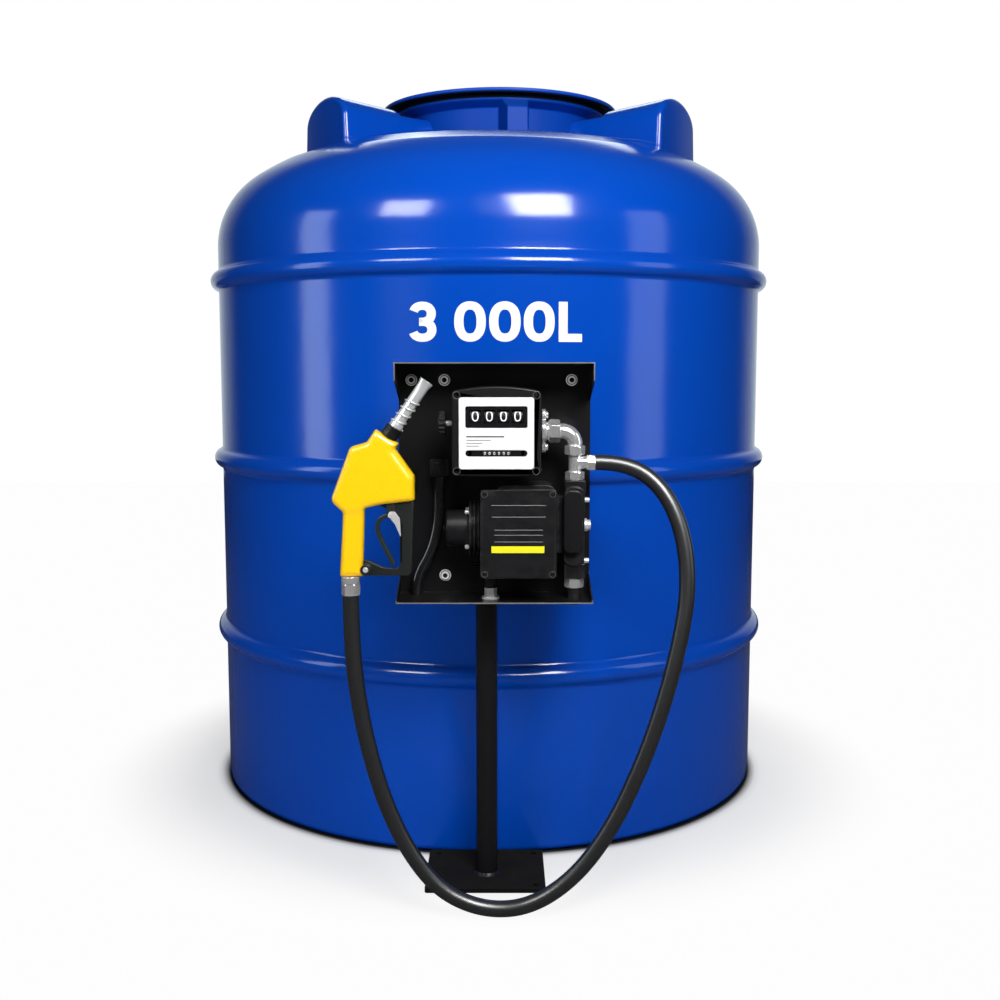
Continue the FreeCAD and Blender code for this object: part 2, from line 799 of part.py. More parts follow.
def meter_outline(grow, y):
    """The register housing from the front: corner bosses and arched top and bottom."""
    half_x = METER_HALF_W + grow
    half_z = METER_SCREW_Z + METER_BOSS_R + grow
    corner = METER_BOSS_R + grow
    left = METER_X - half_x
    right = METER_X + half_x
    low = METER_Z - half_z
    high = METER_Z + half_z
    edges = []

    def curve(a, b, c):
        edges.append(Part.Arc(at(a[0], y, a[1]), at(b[0], y, b[1]), at(c[0], y, c[1])).toShape())

    def straight(a, b):
        edges.append(Part.LineSegment(at(a[0], y, a[1]), at(b[0], y, b[1])).toShape())

    diag = corner * (1 - math.sqrt(0.5))
    straight((left, low + corner), (left, high - corner))
    curve((left, high - corner), (left + diag, high - diag), (left + corner, high))
    curve((left + corner, high), (METER_X, high + METER_ARC_HIGH), (right - corner, high))
    curve((right - corner, high), (right - diag, high - diag), (right, high - corner))
    straight((right, high - corner), (right, low + corner))
    curve((right, low + corner), (right - diag, low + diag), (right - corner, low))
    curve((right - corner, low), (METER_X, low - METER_ARC_LOW), (left + corner, low))
    curve((left + corner, low), (left + diag, low + diag), (left, low + corner))
    return Part.Wire(edges)


def face_box(y0, y1):
    return rounded_box_xz(METER_X - FACE_W / 2, METER_X + FACE_W / 2, METER_Z - FACE_H / 2,
                          METER_Z + FACE_H / 2, FACE_R, y0, y1)


def counter_window(y0, y1):
    half = COUNTER_W / 2
    return rounded_box_xz(METER_X - half, METER_X + half, COUNTER_Z - COUNTER_H / 2,
                          COUNTER_Z + COUNTER_H / 2, COUNTER_R, y0, y1)


def total_window(y0, y1):
    """The lower window, with round ends."""
    half = TOTAL_W / 2
    end = TOTAL_H / 2
    slot = block(METER_X - half + end, METER_X + half - end, y0, y1, TOTAL_Z - end, TOTAL_Z + end)
    ends = [rod(at(METER_X + side * (half - end), y0, TOTAL_Z), Y, end, y1 - y0) for side in (-1, 1)]
    return joined([slot] + ends)


def make_meter_chamber():
    """The measuring chamber behind the register, on a foot that stands on the panel."""
    foot = rod(at(METER_X, PANEL_FACE, METER_Z), -Y, CHAMBER_R * 0.6, CHAMBER_FOOT + 1)
    start = PANEL_FACE - CHAMBER_FOOT
    body = rod(at(METER_X, start, METER_Z), -Y, CHAMBER_R, start - METER_BACK)
    body = softened(body, CHAMBER_EDGE_R, lambda e: e.BoundBox.YMax > start - 1 and e.BoundBox.YLength < 0.1)
    port = rod(at(METER_X, RISER_Y, METER_PORT_Z), X, PORT_R, METER_HALF_W + PORT_PROUD)
    return joined([foot, body, port])


def meter_screw_places():
    return [(METER_X + side * METER_SCREW_X, METER_Z + end * METER_SCREW_Z)
            for side in (-1, 1) for end in (-1, 1)]


def make_meter_housing():
    shoulder = METER_FRONT + METER_BEVEL
    solid = Part.Face(meter_outline(0.0, METER_BACK)).extrude(Y * (shoulder - METER_BACK))
    rims = [meter_outline(0.0, shoulder), meter_outline(-METER_BEVEL, METER_FRONT)]
    solid = joined([solid, Part.makeLoft(rims, True, True)])
    for x, z in meter_screw_places():
        solid = solid.cut(rod(at(x, METER_FRONT - 1, z), Y, METER_SCREW_R + 0.9, SCREW_SUNK + 4))
    solid = solid.cut(counter_window(METER_FRONT - 1, METER_FRONT + COUNTER_DEEP))
    solid = solid.cut(total_window(METER_FRONT - 1, METER_FRONT + TOTAL_DEEP))
    port = rod(at(METER_X, RISER_Y, METER_PORT_Z), X, PORT_R + SEAT, METER_HALF_W + PORT_PROUD + 1)
    return solid.cut(port)


def make_meter_face():
    front = METER_FRONT - FACE_PROUD
    plate = face_box(front, METER_FRONT)
    plate = softened(plate, 1.5, lambda e: e.BoundBox.YMax < front + 0.1)
    plate = plate.cut(counter_window(front - 1, METER_FRONT + 1))
    return plate.cut(total_window(front - 1, METER_FRONT + 1))


def drum_row(left, pitch, count, width, radius, spindle, half_window, height):
    """Number drums on a spindle, just behind the face."""
    y = METER_FRONT - FACE_PROUD + DRUM_SUNK + radius
    drums = [rod(at(left + i * pitch, y, height), X, radius, width) for i in range(count)]
    axle = rod(at(METER_X - half_window, y, height), X, spindle, 2 * half_window)
    return joined([axle] + drums)


def make_counter_drums():
    """Four large drums, and six small ones in the lower window."""
    run = (DRUM_COUNT - 1) * DRUM_PITCH + DRUM_W
    large = drum_row(METER_X - run / 2, DRUM_PITCH, DRUM_COUNT, DRUM_W, DRUM_R, SPINDLE_R,
                     COUNTER_W / 2, COUNTER_Z)
    small = drum_row(SMALL_LEFT, SMALL_PITCH, SMALL_COUNT, SMALL_W, SMALL_R, SPINDLE_R / 2,
                     TOTAL_W / 2 - SEAT, TOTAL_Z)
    return group([large, small])


def meter_screws():
    bottom = METER_FRONT + SCREW_SUNK + 3
    return [rod(at(x, bottom, z), -Y, METER_SCREW_R, 4) for x, z in meter_screw_places()]


def make_reset_shaft():
    left = METER_X - METER_HALF_W - KNOB_STANDOFF
    return rod(at(left, KNOB_Y, KNOB_Z), X, KNOB_SHAFT_R, KNOB_STANDOFF)


def make_reset_knob():
    """A ribbed hand knob beside the register."""
    right = METER_X - METER_HALF_W - KNOB_STANDOFF - PIN_GAP
    core = KNOB_R - 0.7 * KNOB_RIB_R
    knob = rod(at(right, KNOB_Y, KNOB_Z), -X, core, KNOB_L)
    knob = softened(knob, 2, lambda e: e.BoundBox.XLength < 0.1)
    for i in range(KNOB_RIBS):
        angle = math.radians(360.0 * i / KNOB_RIBS)
        reach = KNOB_R - KNOB_RIB_R
        centre = at(right - 2, KNOB_Y + reach * math.cos(angle), KNOB_Z + reach * math.sin(angle))
        knob = knob.fuse(rod(centre, -X, KNOB_RIB_R, KNOB_L - 4))
    return knob.removeSplitter()


# Pump


def make_motor_cap():
    """The plain end of the motor, with its end screw."""
    cap = rod(at(MOTOR_RIGHT, PUMP_Y, MOTOR_Z), -X, MOTOR_R, MOTOR_RIGHT - MOTOR_LEFT)
    cap = softened(cap, 5, lambda e: e.BoundBox.XMax < MOTOR_LEFT + 0.1)
    screw = rod(at(MOTOR_LEFT + 1, PUMP_Y, MOTOR_Z), -X, END_SCREW_R, 8)
    return joined([cap, screw])


def make_motor_fins():
    """The finned barrel between the cap and the pump body."""
    core = rod(at(MOTOR_RIGHT, PUMP_Y, MOTOR_Z), X, FINS_R - FIN_DEEP, FINS_RIGHT - MOTOR_RIGHT)
    count = int((FINS_RIGHT - MOTOR_RIGHT - FIN_T) / FIN_PITCH) + 1
    fins = [rod(at(MOTOR_RIGHT + i * FIN_PITCH, PUMP_Y, MOTOR_Z), X, FINS_R, FIN_T) for i in range(count)]
    solid = joined([core] + fins)
    box = block(MOTOR_RIGHT - 1, FINS_RIGHT + 1, BOX_BACK - FINS_R, BOX_BACK + 1 + SEAT,
                MOTOR_Z - 2 * FINS_R, MOTOR_Z + 2 * FINS_R)
    return solid.cut(box)


def make_pump_studs():
    """The bolt heads on the motor's end and on the manifold's flanges."""
    return group(tie_bolts() + flange_studs())


def tie_bolts():
    bolts = []
    reach = MOTOR_R + TIE_BOLT_R + 1.5
    for angle in TIE_BOLT_ANGLES:
        turn = math.radians(angle)
        place = at(MOTOR_RIGHT, PUMP_Y - reach * math.sin(turn), MOTOR_Z + reach * math.cos(turn))
        bolts.append(rod(place, -X, TIE_BOLT_R, TIE_BOLT_L))
    return bolts


def make_pump_body():
    """The cast vane housing, on two feet that stand on the panel."""
    back = PUMP_Y + PUMP_BEHIND
    body = rounded_box_xz(PUMP_LEFT, PUMP_RIGHT, PUMP_LOW, PUMP_HIGH, PUMP_CORNER_R, BOX_BACK, back)
    feet = []
    for z in (PUMP_LOW + PUMP_CORNER_R, PUMP_HIGH - PUMP_CORNER_R - PUMP_FOOT_H):
        feet.append(block(PUMP_LEFT + 12, PUMP_RIGHT - 12, back - 1, PANEL_FACE, z, z + PUMP_FOOT_H))
    box = rounded_box_xz(BOX_LEFT + BOX_INSET, BOX_RIGHT - BOX_INSET, BOX_LOW + BOX_INSET,
                         BOX_HIGH - BOX_INSET, COVER_R, BOX_FRONT, BOX_BACK + 1)
    return joined([body, box, shelf_foot()] + feet)


def make_terminal_cover():
    front = BOX_FRONT - COVER_T
    plate = rounded_box_xz(BOX_LEFT, BOX_RIGHT, BOX_LOW, BOX_HIGH, COVER_R, front, BOX_FRONT)
    plate = softened(plate, COVER_EDGE_R, lambda e: e.BoundBox.YMax < front + 0.1)
    for x, z in cover_screw_places():
        plate = plate.cut(rod(at(x, front - 1, z), Y, COVER_SCREW_R + 1, SCREW_SUNK + 1))
    return plate


def cover_screw_places():
    inset = COVER_SCREW_INSET
    heights = (BOX_LOW + inset, BOX_HIGH - inset)
    return [(x, z) for x in (BOX_LEFT + inset, BOX_RIGHT - inset) for z in heights]


def make_case_screws():
    """The screws in the corners of the meter's case and of the terminal cover."""
    face = BOX_FRONT - COVER_T + SCREW_SUNK
    cover = [rod(at(x, face, z), -Y, COVER_SCREW_R, 2.5) for x, z in cover_screw_places()]
    return group(cover + meter_screws())


def shelf_foot():
    """The stub under the pump that stands on a nut on the shelf."""
    low = PANEL_LOW + SHEET + FOOT_NUT_H
    stub = rod(at(FOOT_X, FOOT_Y, low), Z, FOOT_STUB_R, PUMP_LOW + 12 - low)
    arm = block(FOOT_X - FOOT_STUB_R, PUMP_LEFT + PUMP_CORNER_R, FOOT_Y - FOOT_STUB_R,
                FOOT_Y + FOOT_STUB_R, PUMP_LOW + 4, PUMP_LOW + 18)
    return joined([stub, arm])


def make_foot_nut():
    shelf = PANEL_LOW + SHEET
    collar = rod(at(FOOT_X, FOOT_Y, shelf), Z, FOOT_COLLAR_R, FOOT_COLLAR_T)
    nut = hexagon(at(FOOT_X, FOOT_Y, shelf + FOOT_COLLAR_T), Z, FOOT_NUT_AF, FOOT_NUT_H - FOOT_COLLAR_T)
    return joined([collar, nut])


# Manifold and pipework


def square_flange(low, high):
    half = FLANGE_HALF
    flange = block(RISER_X - half, RISER_X + half, RISER_Y - half, RISER_Y + half, low, high)
    return softened(flange, 5, lambda e: e.BoundBox.ZLength > high - low - 1)


def make_pump_manifold():
    """The cast side cover that joins the pump to the pipes above and below."""
    low = square_flange(MANIFOLD_LOW, MANIFOLD_LOW + LOW_FLANGE_T)
    high = square_flange(MANIFOLD_HIGH - HIGH_FLANGE_T, MANIFOLD_HIGH)
    body = rounded_box_xz(RISER_X - 24, RISER_X + 20, MANIFOLD_LOW + LOW_FLANGE_T - 4,
                          MANIFOLD_HIGH - HIGH_FLANGE_T / 2, 18, RISER_Y - 26, RISER_Y + 34)
    link = block(PUMP_RIGHT, RISER_X, RISER_Y - 18, RISER_Y + 28, LINK_LOW, LINK_HIGH)
    return joined([body, low, high, link])


def make_manifold_cover():
    back = RISER_Y - 26
    front = back - SIDE_COVER_T
    cover = rounded_box_xz(RISER_X - 25, RISER_X + 15, SIDE_COVER_LOW, SIDE_COVER_HIGH, 14, front, back)
    return softened(cover, 3, lambda e: e.BoundBox.YMax < front + 1)


def flange_studs():
    return [rod(at(RISER_X + 20, RISER_Y - 14, z), X, STUD_R, 10) for z in STUD_HEIGHTS]


def make_relief_knob():
    y = RISER_Y - 4
    face = RISER_X + 20
    boss = rod(at(face, y, RELIEF_Z), X, RELIEF_R, 6)
    knob = rod(at(face + 6, y, RELIEF_Z), X, RELIEF_R - 3, 8)
    return joined([boss, softened(knob, 2, lambda e: e.BoundBox.XMin > face + 13)])


def make_riser_unions():
    """The hexagon unions below the manifold, above it and above the tee."""
    inlet = hexagon(at(RISER_X, RISER_Y, MANIFOLD_LOW - INLET_HEX_H), Z, HEX_AF, INLET_HEX_H)
    lower = hexagon(at(RISER_X, RISER_Y, MANIFOLD_HIGH), Z, HEX_AF, LOWER_HEX_H)
    upper = hexagon(at(RISER_X, RISER_Y, UPPER_HEX_LOW), Z, HEX_AF + 2, UPPER_HEX_H)
    return group([inlet, lower, upper])


def make_inlet_pipe():
    low = PANEL_LOW - PIPE_BELOW
    return tube(at(RISER_X, RISER_Y, low), Z, PIPE_R, PIPE_R - PIPE_WALL, MANIFOLD_LOW - INLET_HEX_H - low)


def make_tee():
    """The tee: a run up the riser and a branch to the hose."""
    low = MANIFOLD_HIGH + LOWER_HEX_H
    run = rod(at(RISER_X, RISER_Y, low), Z, TEE_R, UPPER_HEX_LOW - low)
    branch = rod(at(RISER_X, RISER_Y, TEE_Z), X, TEE_R, BRANCH_L)
    return joined([run, branch])


def make_elbow():
    """A quarter bend from the riser to the meter."""
    left = union_left() + UNION_L
    low = UPPER_HEX_LOW + UPPER_HEX_H
    bend_z = METER_PORT_Z - ELBOW_R
    upright = rod(at(RISER_X, RISER_Y, low), Z, TUBE_R - 2, bend_z - low)
    circle = Part.Wire(Part.makeCircle(TUBE_R, at(RISER_X, RISER_Y, bend_z), Z))
    turn = Part.Face(circle).revolve(at(RISER_X - ELBOW_R, RISER_Y, bend_z), -Y, 90)
    level = rod(at(left, RISER_Y, METER_PORT_Z), X, TUBE_R, RISER_X - ELBOW_R - left)
    return joined([upright, turn, level])


def flange_left():
    return METER_X + METER_HALF_W + PORT_PROUD


def union_left():
    return flange_left() + EAR_T + 6


def make_meter_union():
    return hexagon(at(union_left(), RISER_Y, METER_PORT_Z), X, BIG_HEX_AF, UNION_L, 30)


def make_meter_flange():
    left = flange_left()
    right = left + EAR_T
    disc = rod(at(left, RISER_Y, METER_PORT_Z), X, PORT_R + 3, EAR_T)
    web = block(left, right, RISER_Y - 14, RISER_Y + 14, METER_PORT_Z - EAR_REACH, METER_PORT_Z + EAR_REACH)
    neck = rod(at(right, RISER_Y, METER_PORT_Z), X, 19, 6)
    parts = [disc, web, neck]
    for z in (METER_PORT_Z - EAR_REACH, METER_PORT_Z + EAR_REACH):
        parts.append(rod(at(left, RISER_Y, z), X, EAR_R, EAR_T))
        parts.append(rod(at(right, RISER_Y, z), X, 7, 5))
    return joined(parts)


def make_hose_ferrule():
    start = RISER_X + BRANCH_L
    return hexagon(at(start, RISER_Y, TEE_Z), X, HOSE_NUT_AF, FERRULE_END - start)


# Hose and cable


def path_wire(points):
    """Straight runs joined by tangent arcs, each as large as its two runs allow."""
    edges = []
    radii = []
    last = points[0]
    for i in range(1, len(points) - 1):
        before, here, after = points[i - 1], points[i], points[i + 1]
        run = min(before.distanceToPoint(here), here.distanceToPoint(after))
        turn = math.pi - (before - here).getAngle(after - here)
        radius = 0.45 * run / math.tan(turn / 2)
        start, end, middle = corner_arc(before, here, after, radius)
        edges.append(Part.LineSegment(last, start).toShape())
        edges.append(Part.Arc(start, middle, end).toShape())
        radii.append(radius)
        last = end
    edges.append(Part.LineSegment(last, points[-1]).toShape())
    return Part.Wire(edges), radii


def swept(points, radius, name):
    wire, radii = path_wire(points)
    direction = (points[1] - points[0]).normalize()
    circle = Part.Wire(Part.makeCircle(radius, points[0], direction))
    solid = wire.makePipeShell([circle], True, False)
    expected = math.pi * radius ** 2 * wire.Length
    print(name, "length %.0f, least bend radius %.0f" % (wire.Length, min(radii)))
    print(name, "volume over section times length %.4f" % (solid.Volume / expected))
    return solid


def make_delivery_hose():
    route = [at(x, RISER_Y - ahead, z) for x, ahead, z in HOSE_ROUTE]
    return swept(route, HOSE_R, "delivery hose")


def make_power_cable():
    return swept([at(x, CABLE_Y, z) for x, z in CABLE_ROUTE], CABLE_R, "power cable")


def make_cable_switch():
    """The switch block on the panel that the cable comes out of."""
    front = PANEL_FACE - SWITCH_OUT
    side_front = PANEL_FACE - SWITCH_SIDE_OUT
    body = rounded_box_xz(SWITCH_LEFT, SWITCH_MIDDLE, SWITCH_LOW, SWITCH_HIGH, SWITCH_R, front, PANEL_FACE)
    body = softened(body, 2, lambda e: e.BoundBox.YMax < front + 1)
    rocker = block(SWITCH_LEFT + 5, SWITCH_MIDDLE - 5, front - 4, front + 2, SWITCH_LOW + 7, SWITCH_HIGH - 7)
    side = rounded_box_xz(SWITCH_MIDDLE - 6, SWITCH_RIGHT, SWITCH_LOW, SWITCH_HIGH - 2, SWITCH_R,
                          side_front, PANEL_FACE)
    return joined([body, rocker, side])


# Nozzle


def body_solid(y0, y1):
    return rounded_plate(BODY_POINTS, BODY_RADII, y0, y1)


def make_nozzle_body():
    """The cast body, with a slimmer handle."""
    front = NOZZLE_Y - BODY_HALF
    back = NOZZLE_Y + BODY_HALF
    left = BODY_POINTS[7][0] - 2 * BODY_HALF - 60
    body = body_solid(front, back)
    for y0, y1 in ((front - 1, NOZZLE_Y - HANDLE_HALF), (NOZZLE_Y + HANDLE_HALF, back + 1)):
        body = body.cut(block(left, HANDLE_RIGHT, y0, y1, BODY_POINTS[7][1] - 1, HANDLE_TOP))
    return body


def make_trigger_guard():
    """The bow before the lever, with cheeks for its pin and a lobe riveted to the handle."""
    front = NOZZLE_Y - GUARD_HALF
    back = NOZZLE_Y + GUARD_HALF
    guard = rounded_plate(GUARD_POINTS, GUARD_RADII, front, back)
    guard = guard.cut(ears(front - 1, back + 1, EYE_R + 2))
    parts = [guard]
    for y0 in (front - CHEEK_T, back):
        parts.append(block(LEVER_PIVOT_X - CHEEK_R, LEVER_PIVOT_X + CHEEK_R, y0, y0 + CHEEK_T,
                           LEVER_PIVOT_Z, LEVER_PIVOT_Z + CHEEK_H))
        parts.append(ears(y0, y0 + CHEEK_T, CHEEK_R))
    lobe_half = HANDLE_HALF + SEAT + LOBE_T
    parts.append(rod(at(RIVET_X, NOZZLE_Y - lobe_half, RIVET_Z), Y, LOBE_R, 2 * lobe_half))
    guard = joined(parts)
    guard = guard.cut(body_solid(NOZZLE_Y - BODY_HALF, NOZZLE_Y + BODY_HALF).common(
        block(-400, 0, NOZZLE_Y - HANDLE_HALF - SEAT, NOZZLE_Y + HANDLE_HALF + SEAT, 700, HANDLE_TOP)))
    guard = guard.cut(make_nozzle_body())
    guard = guard.cut(rod(at(RIVET_X, NOZZLE_Y - lobe_half - 1, RIVET_Z), Y, RIVET_R, 2 * lobe_half + 2))
    return guard.cut(ears(front - CHEEK_T - 1, back + CHEEK_T + 1, PIN_R))


def spout_direction():
    turn = math.radians(SPOUT_ANGLE)
    return at(math.sin(turn), 0, math.cos(turn))


def spout_root():
    return at(SPOUT_ROOT_X, NOZZLE_Y, SPOUT_ROOT_Z)


def make_nozzle_spout():
    direction = spout_direction()
    start = spout_root() + direction * COLLAR_L
    end = spout_root() + direction * SPOUT_L
    pipe = rod(start, direction, SPOUT_R, SPOUT_L - COLLAR_L)
    lip = cone(end - direction * 2, direction, SPOUT_R, SPOUT_R + SPOUT_LIP, 4)
    bore = rod(start + direction * 8, direction, SPOUT_R - SPOUT_WALL, SPOUT_L)
    return joined([pipe, lip]).cut(bore)


def make_spout_collar():
    direction = spout_direction()
    collar = rod(spout_root() - direction * COLLAR_SUNK, direction, COLLAR_R, COLLAR_L + COLLAR_SUNK)
    return collar.cut(body_solid(NOZZLE_Y - BODY_HALF, NOZZLE_Y + BODY_HALF))


def make_spout_spring():
    """Open coils that keep the spout from slipping out of a filler neck."""
    direction = spout_direction()
    first = spout_root() + direction * (COLLAR_L + COIL_WIRE_R + SEAT)
    radius = SPOUT_R + COIL_WIRE_R + 0.1
    return group([Part.makeTorus(radius, COIL_WIRE_R, first + direction * (COIL_PITCH * i), direction)
                  for i in range(COIL_TURNS)])


def ears(y0, y1, radius):
    return rod(at(LEVER_PIVOT_X, y0, LEVER_PIVOT_Z), Y, radius, y1 - y0)


def make_nozzle_pins():
    """The pin of the lever and the latch, and the rivet of the guard."""
    return group([trigger_pin(), guard_rivet()])


def trigger_pin():
    """The pin through the guard's two cheeks, the lever and the latch."""
    front = NOZZLE_Y - GUARD_HALF - CHEEK_T - LATCH_T - 2 * PIN_SLACK
    back = NOZZLE_Y + GUARD_HALF + CHEEK_T
    return joined([ears(front, back, PIN_R), ears(front - 2, front, PIN_R + 2)])


def guard_rivet():
    half = HANDLE_HALF + SEAT + LOBE_T
    shank = rod(at(RIVET_X, NOZZLE_Y - half, RIVET_Z), Y, RIVET_R, 2 * half)
    heads = [rod(at(RIVET_X, y, RIVET_Z), Y, RIVET_R + 1.5, RIVET_HEAD_T)
             for y in (NOZZLE_Y - half - RIVET_HEAD_T, NOZZLE_Y + half)]
    return joined([shank] + heads)


def lever_band():
    """The lever's bent band, from its eye to its tip."""
    wire, radii = path_wire([at(x, NOZZLE_Y - LEVER_HALF, z) for x, z in LEVER_POINTS])
    half = LEVER_T / 2
    start = wire.Vertexes[0].Point
    direction = (wire.Vertexes[1].Point - start).normalize()
    side = direction.cross(Y).normalize()
    a = start + side * half
    b = start - side * half
    section = Part.makePolygon([a, b, b + Y * (2 * LEVER_HALF), a + Y * (2 * LEVER_HALF), a])
    return wire.makePipeShell([section], True, False)


def make_trigger_lever():
    eye = ears(NOZZLE_Y - LEVER_HALF, NOZZLE_Y + LEVER_HALF, EYE_R)
    tip_x, tip_z = LEVER_POINTS[-1]
    tip = rod(at(tip_x, NOZZLE_Y - LEVER_HALF, tip_z), Y, LEVER_T / 2, 2 * LEVER_HALF)
    lever = joined([lever_band(), eye, tip])
    return lever.cut(ears(NOZZLE_Y - BODY_HALF, NOZZLE_Y + BODY_HALF, PIN_BORE_R))


def make_trigger_latch():
    """The hold-open latch on the front end of the pin."""
    front = NOZZLE_Y - GUARD_HALF - CHEEK_T - PIN_SLACK - LATCH_T
    latch = rounded_plate(LATCH_POINTS, LATCH_RADII, front, front + LATCH_T)
    return latch.cut(ears(front - 1, front + LATCH_T + 1, PIN_BORE_R))


def make_hose_swivel():
    """The swivel collar under the handle and the hose nut below it."""
    low = HOSE_ROUTE[-1][2]
    collar_low = SWIVEL_TOP - SWIVEL_H
    collar = rod(at(SWIVEL_X, NOZZLE_Y, collar_low), Z, SWIVEL_R, SWIVEL_H)
    nut = hexagon(at(SWIVEL_X, NOZZLE_Y, low), Z, SWIVEL_NUT_AF, collar_low - low)
    return joined([collar, nut])


def underside(x):
    """Height of the nozzle body's straight underside."""
    share = (x - UNDERSIDE_LEFT[0]) / (UNDERSIDE_RIGHT[0] - UNDERSIDE_LEFT[0])
    return UNDERSIDE_LEFT[1] + share * (UNDERSIDE_RIGHT[1] - UNDERSIDE_LEFT[1])


def make_nozzle_holder():
    """A bracket bolted to the panel, hidden behind the nozzle, with a lip under its body."""
    back = NOZZLE_Y + BODY_HALF + SEAT
    behind = back + HOLDER_T
    left = PANEL_LEFT + SHEET
    plate = block(HOLDER_LEFT, HOLDER_RIGHT, back, behind, HOLDER_LOW, HOLDER_HIGH)
    arm = block(left, left + HOLDER_T, back, PANEL_FACE, HOLDER_ARM_LOW, HOLDER_ARM_HIGH)
    foot = block(left, left + HOLDER_ARM_W, PANEL_FACE - HOLDER_T, PANEL_FACE,
                 HOLDER_ARM_LOW, HOLDER_ARM_HIGH)
    rail = [(x, underside(x) - SEAT) for x in (HOLDER_RIGHT, HOLDER_WEB_LEFT)]
    rail += [(x, z - HOLDER_T) for x, z in reversed(rail)]
    lip = plate_xz(rail, NOZZLE_Y + GUARD_HALF + CHEEK_T + 1, behind)
    web = block(HOLDER_WEB_LEFT, HOLDER_RIGHT, back, behind, HOLDER_LOW - 2, HOLDER_LOW + HOLDER_WEB_H)
    return joined([plate, arm, foot, lip, web])


PARTS = {
    "tank_wall": make_tank_wall,
    "tank_floor": make_tank_floor,
    "tank_roof": make_tank_roof,
    "manhole_neck": make_manhole_neck,
    "manhole_lid": make_manhole_lid,
    "base_plate": make_base_plate,
    "post": make_post,
    "panel": make_panel,
    "panel_bolts": make_panel_bolts,
    "meter_chamber": make_meter_chamber,
    "meter_housing": make_meter_housing,
    "meter_face": make_meter_face,
    "counter_drums": make_counter_drums,
    "reset_shaft": make_reset_shaft,
    "reset_knob": make_reset_knob,
    "motor_cap": make_motor_cap,
    "motor_fins": make_motor_fins,
    "pump_studs": make_pump_studs,
    "pump_body": make_pump_body,
    "terminal_cover": make_terminal_cover,
    "case_screws": make_case_screws,
    "foot_nut": make_foot_nut,
    "pump_manifold": make_pump_manifold,
    "manifold_cover": make_manifold_cover,
    "relief_knob": make_relief_knob,
    "riser_unions": make_riser_unions,
    "inlet_pipe": make_inlet_pipe,
    "tee": make_tee,
    "elbow": make_elbow,
    "meter_union": make_meter_union,
    "meter_flange": make_meter_flange,
    "hose_ferrule": make_hose_ferrule,
    "delivery_hose": make_delivery_hose,
    "power_cable": make_power_cable,
    "cable_switch": make_cable_switch,
    "nozzle_body": make_nozzle_body,
    "trigger_guard": make_trigger_guard,
    "nozzle_spout": make_nozzle_spout,
    "spout_collar": make_spout_collar,
    "spout_spring": make_spout_spring,
    "nozzle_pins": make_nozzle_pins,
    "trigger_lever": make_trigger_lever,
    "trigger_latch": make_trigger_latch,
    "hose_swivel": make_hose_swivel,
    "nozzle_holder": make_nozzle_holder,
}


os.makedirs("parts", exist_ok=True)
for name, maker in PARTS.items():
    shape = maker()
    if not shape.isValid():
        print("not valid:", name)
    print("%s solids %d volume %.0f" % (name, len(shape.Solids), shape.Volume))
    shape.exportStep(os.path.join("parts", name + ".step"))
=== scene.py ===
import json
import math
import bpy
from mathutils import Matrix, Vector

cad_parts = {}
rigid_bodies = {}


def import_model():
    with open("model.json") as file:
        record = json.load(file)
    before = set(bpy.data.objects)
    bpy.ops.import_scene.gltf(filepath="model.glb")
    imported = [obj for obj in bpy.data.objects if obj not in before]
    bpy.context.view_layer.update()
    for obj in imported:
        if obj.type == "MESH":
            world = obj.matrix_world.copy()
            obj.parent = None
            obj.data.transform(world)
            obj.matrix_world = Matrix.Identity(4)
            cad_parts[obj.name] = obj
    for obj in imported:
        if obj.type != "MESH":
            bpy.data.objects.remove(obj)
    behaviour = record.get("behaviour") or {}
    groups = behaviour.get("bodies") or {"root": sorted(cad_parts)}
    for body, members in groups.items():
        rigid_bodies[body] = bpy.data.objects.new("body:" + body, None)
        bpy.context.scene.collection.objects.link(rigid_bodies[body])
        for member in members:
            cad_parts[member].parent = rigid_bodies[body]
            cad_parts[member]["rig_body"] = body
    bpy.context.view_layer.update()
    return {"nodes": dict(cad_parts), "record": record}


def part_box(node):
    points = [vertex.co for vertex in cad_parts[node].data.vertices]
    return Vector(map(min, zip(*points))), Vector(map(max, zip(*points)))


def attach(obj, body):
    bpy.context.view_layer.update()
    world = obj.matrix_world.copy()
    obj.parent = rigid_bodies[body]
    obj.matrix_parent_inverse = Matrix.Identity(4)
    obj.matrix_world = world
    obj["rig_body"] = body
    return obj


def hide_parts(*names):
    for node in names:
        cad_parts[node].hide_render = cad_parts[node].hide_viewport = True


bl_info = {
    "name": "Fuel tank with pump set",
    "version": (1, 0, 0),
    "blender": (4, 5, 0),
    "location": "View3D > Sidebar > Fuel tank",
    "description": "Dresses a packed fuel tank with its pedestal, meter, pump, hose and nozzle",
    "category": "Object",
}

import bmesh
import bpy
import numpy as np
from bpy.props import FloatProperty, FloatVectorProperty, IntProperty, PointerProperty
from bpy.types import Operator, Panel, PropertyGroup
from mathutils import Matrix, Vector, geometry

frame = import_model()
SET = "tank_set"
TINTS = {m["slot"]: tuple(m["base_color"]) for m in frame["record"]["materials"]}


# Settings


def length(label, about, value):
    return FloatProperty(name=label, description=about, default=value, unit="LENGTH", subtype="DISTANCE")


def colour(label, about, value):
    return FloatVectorProperty(name=label, description=about, default=value, size=3, min=0.0, max=1.0,
                               subtype="COLOR")


def amount(label, about, value):
    return FloatProperty(name=label, description=about, default=value)


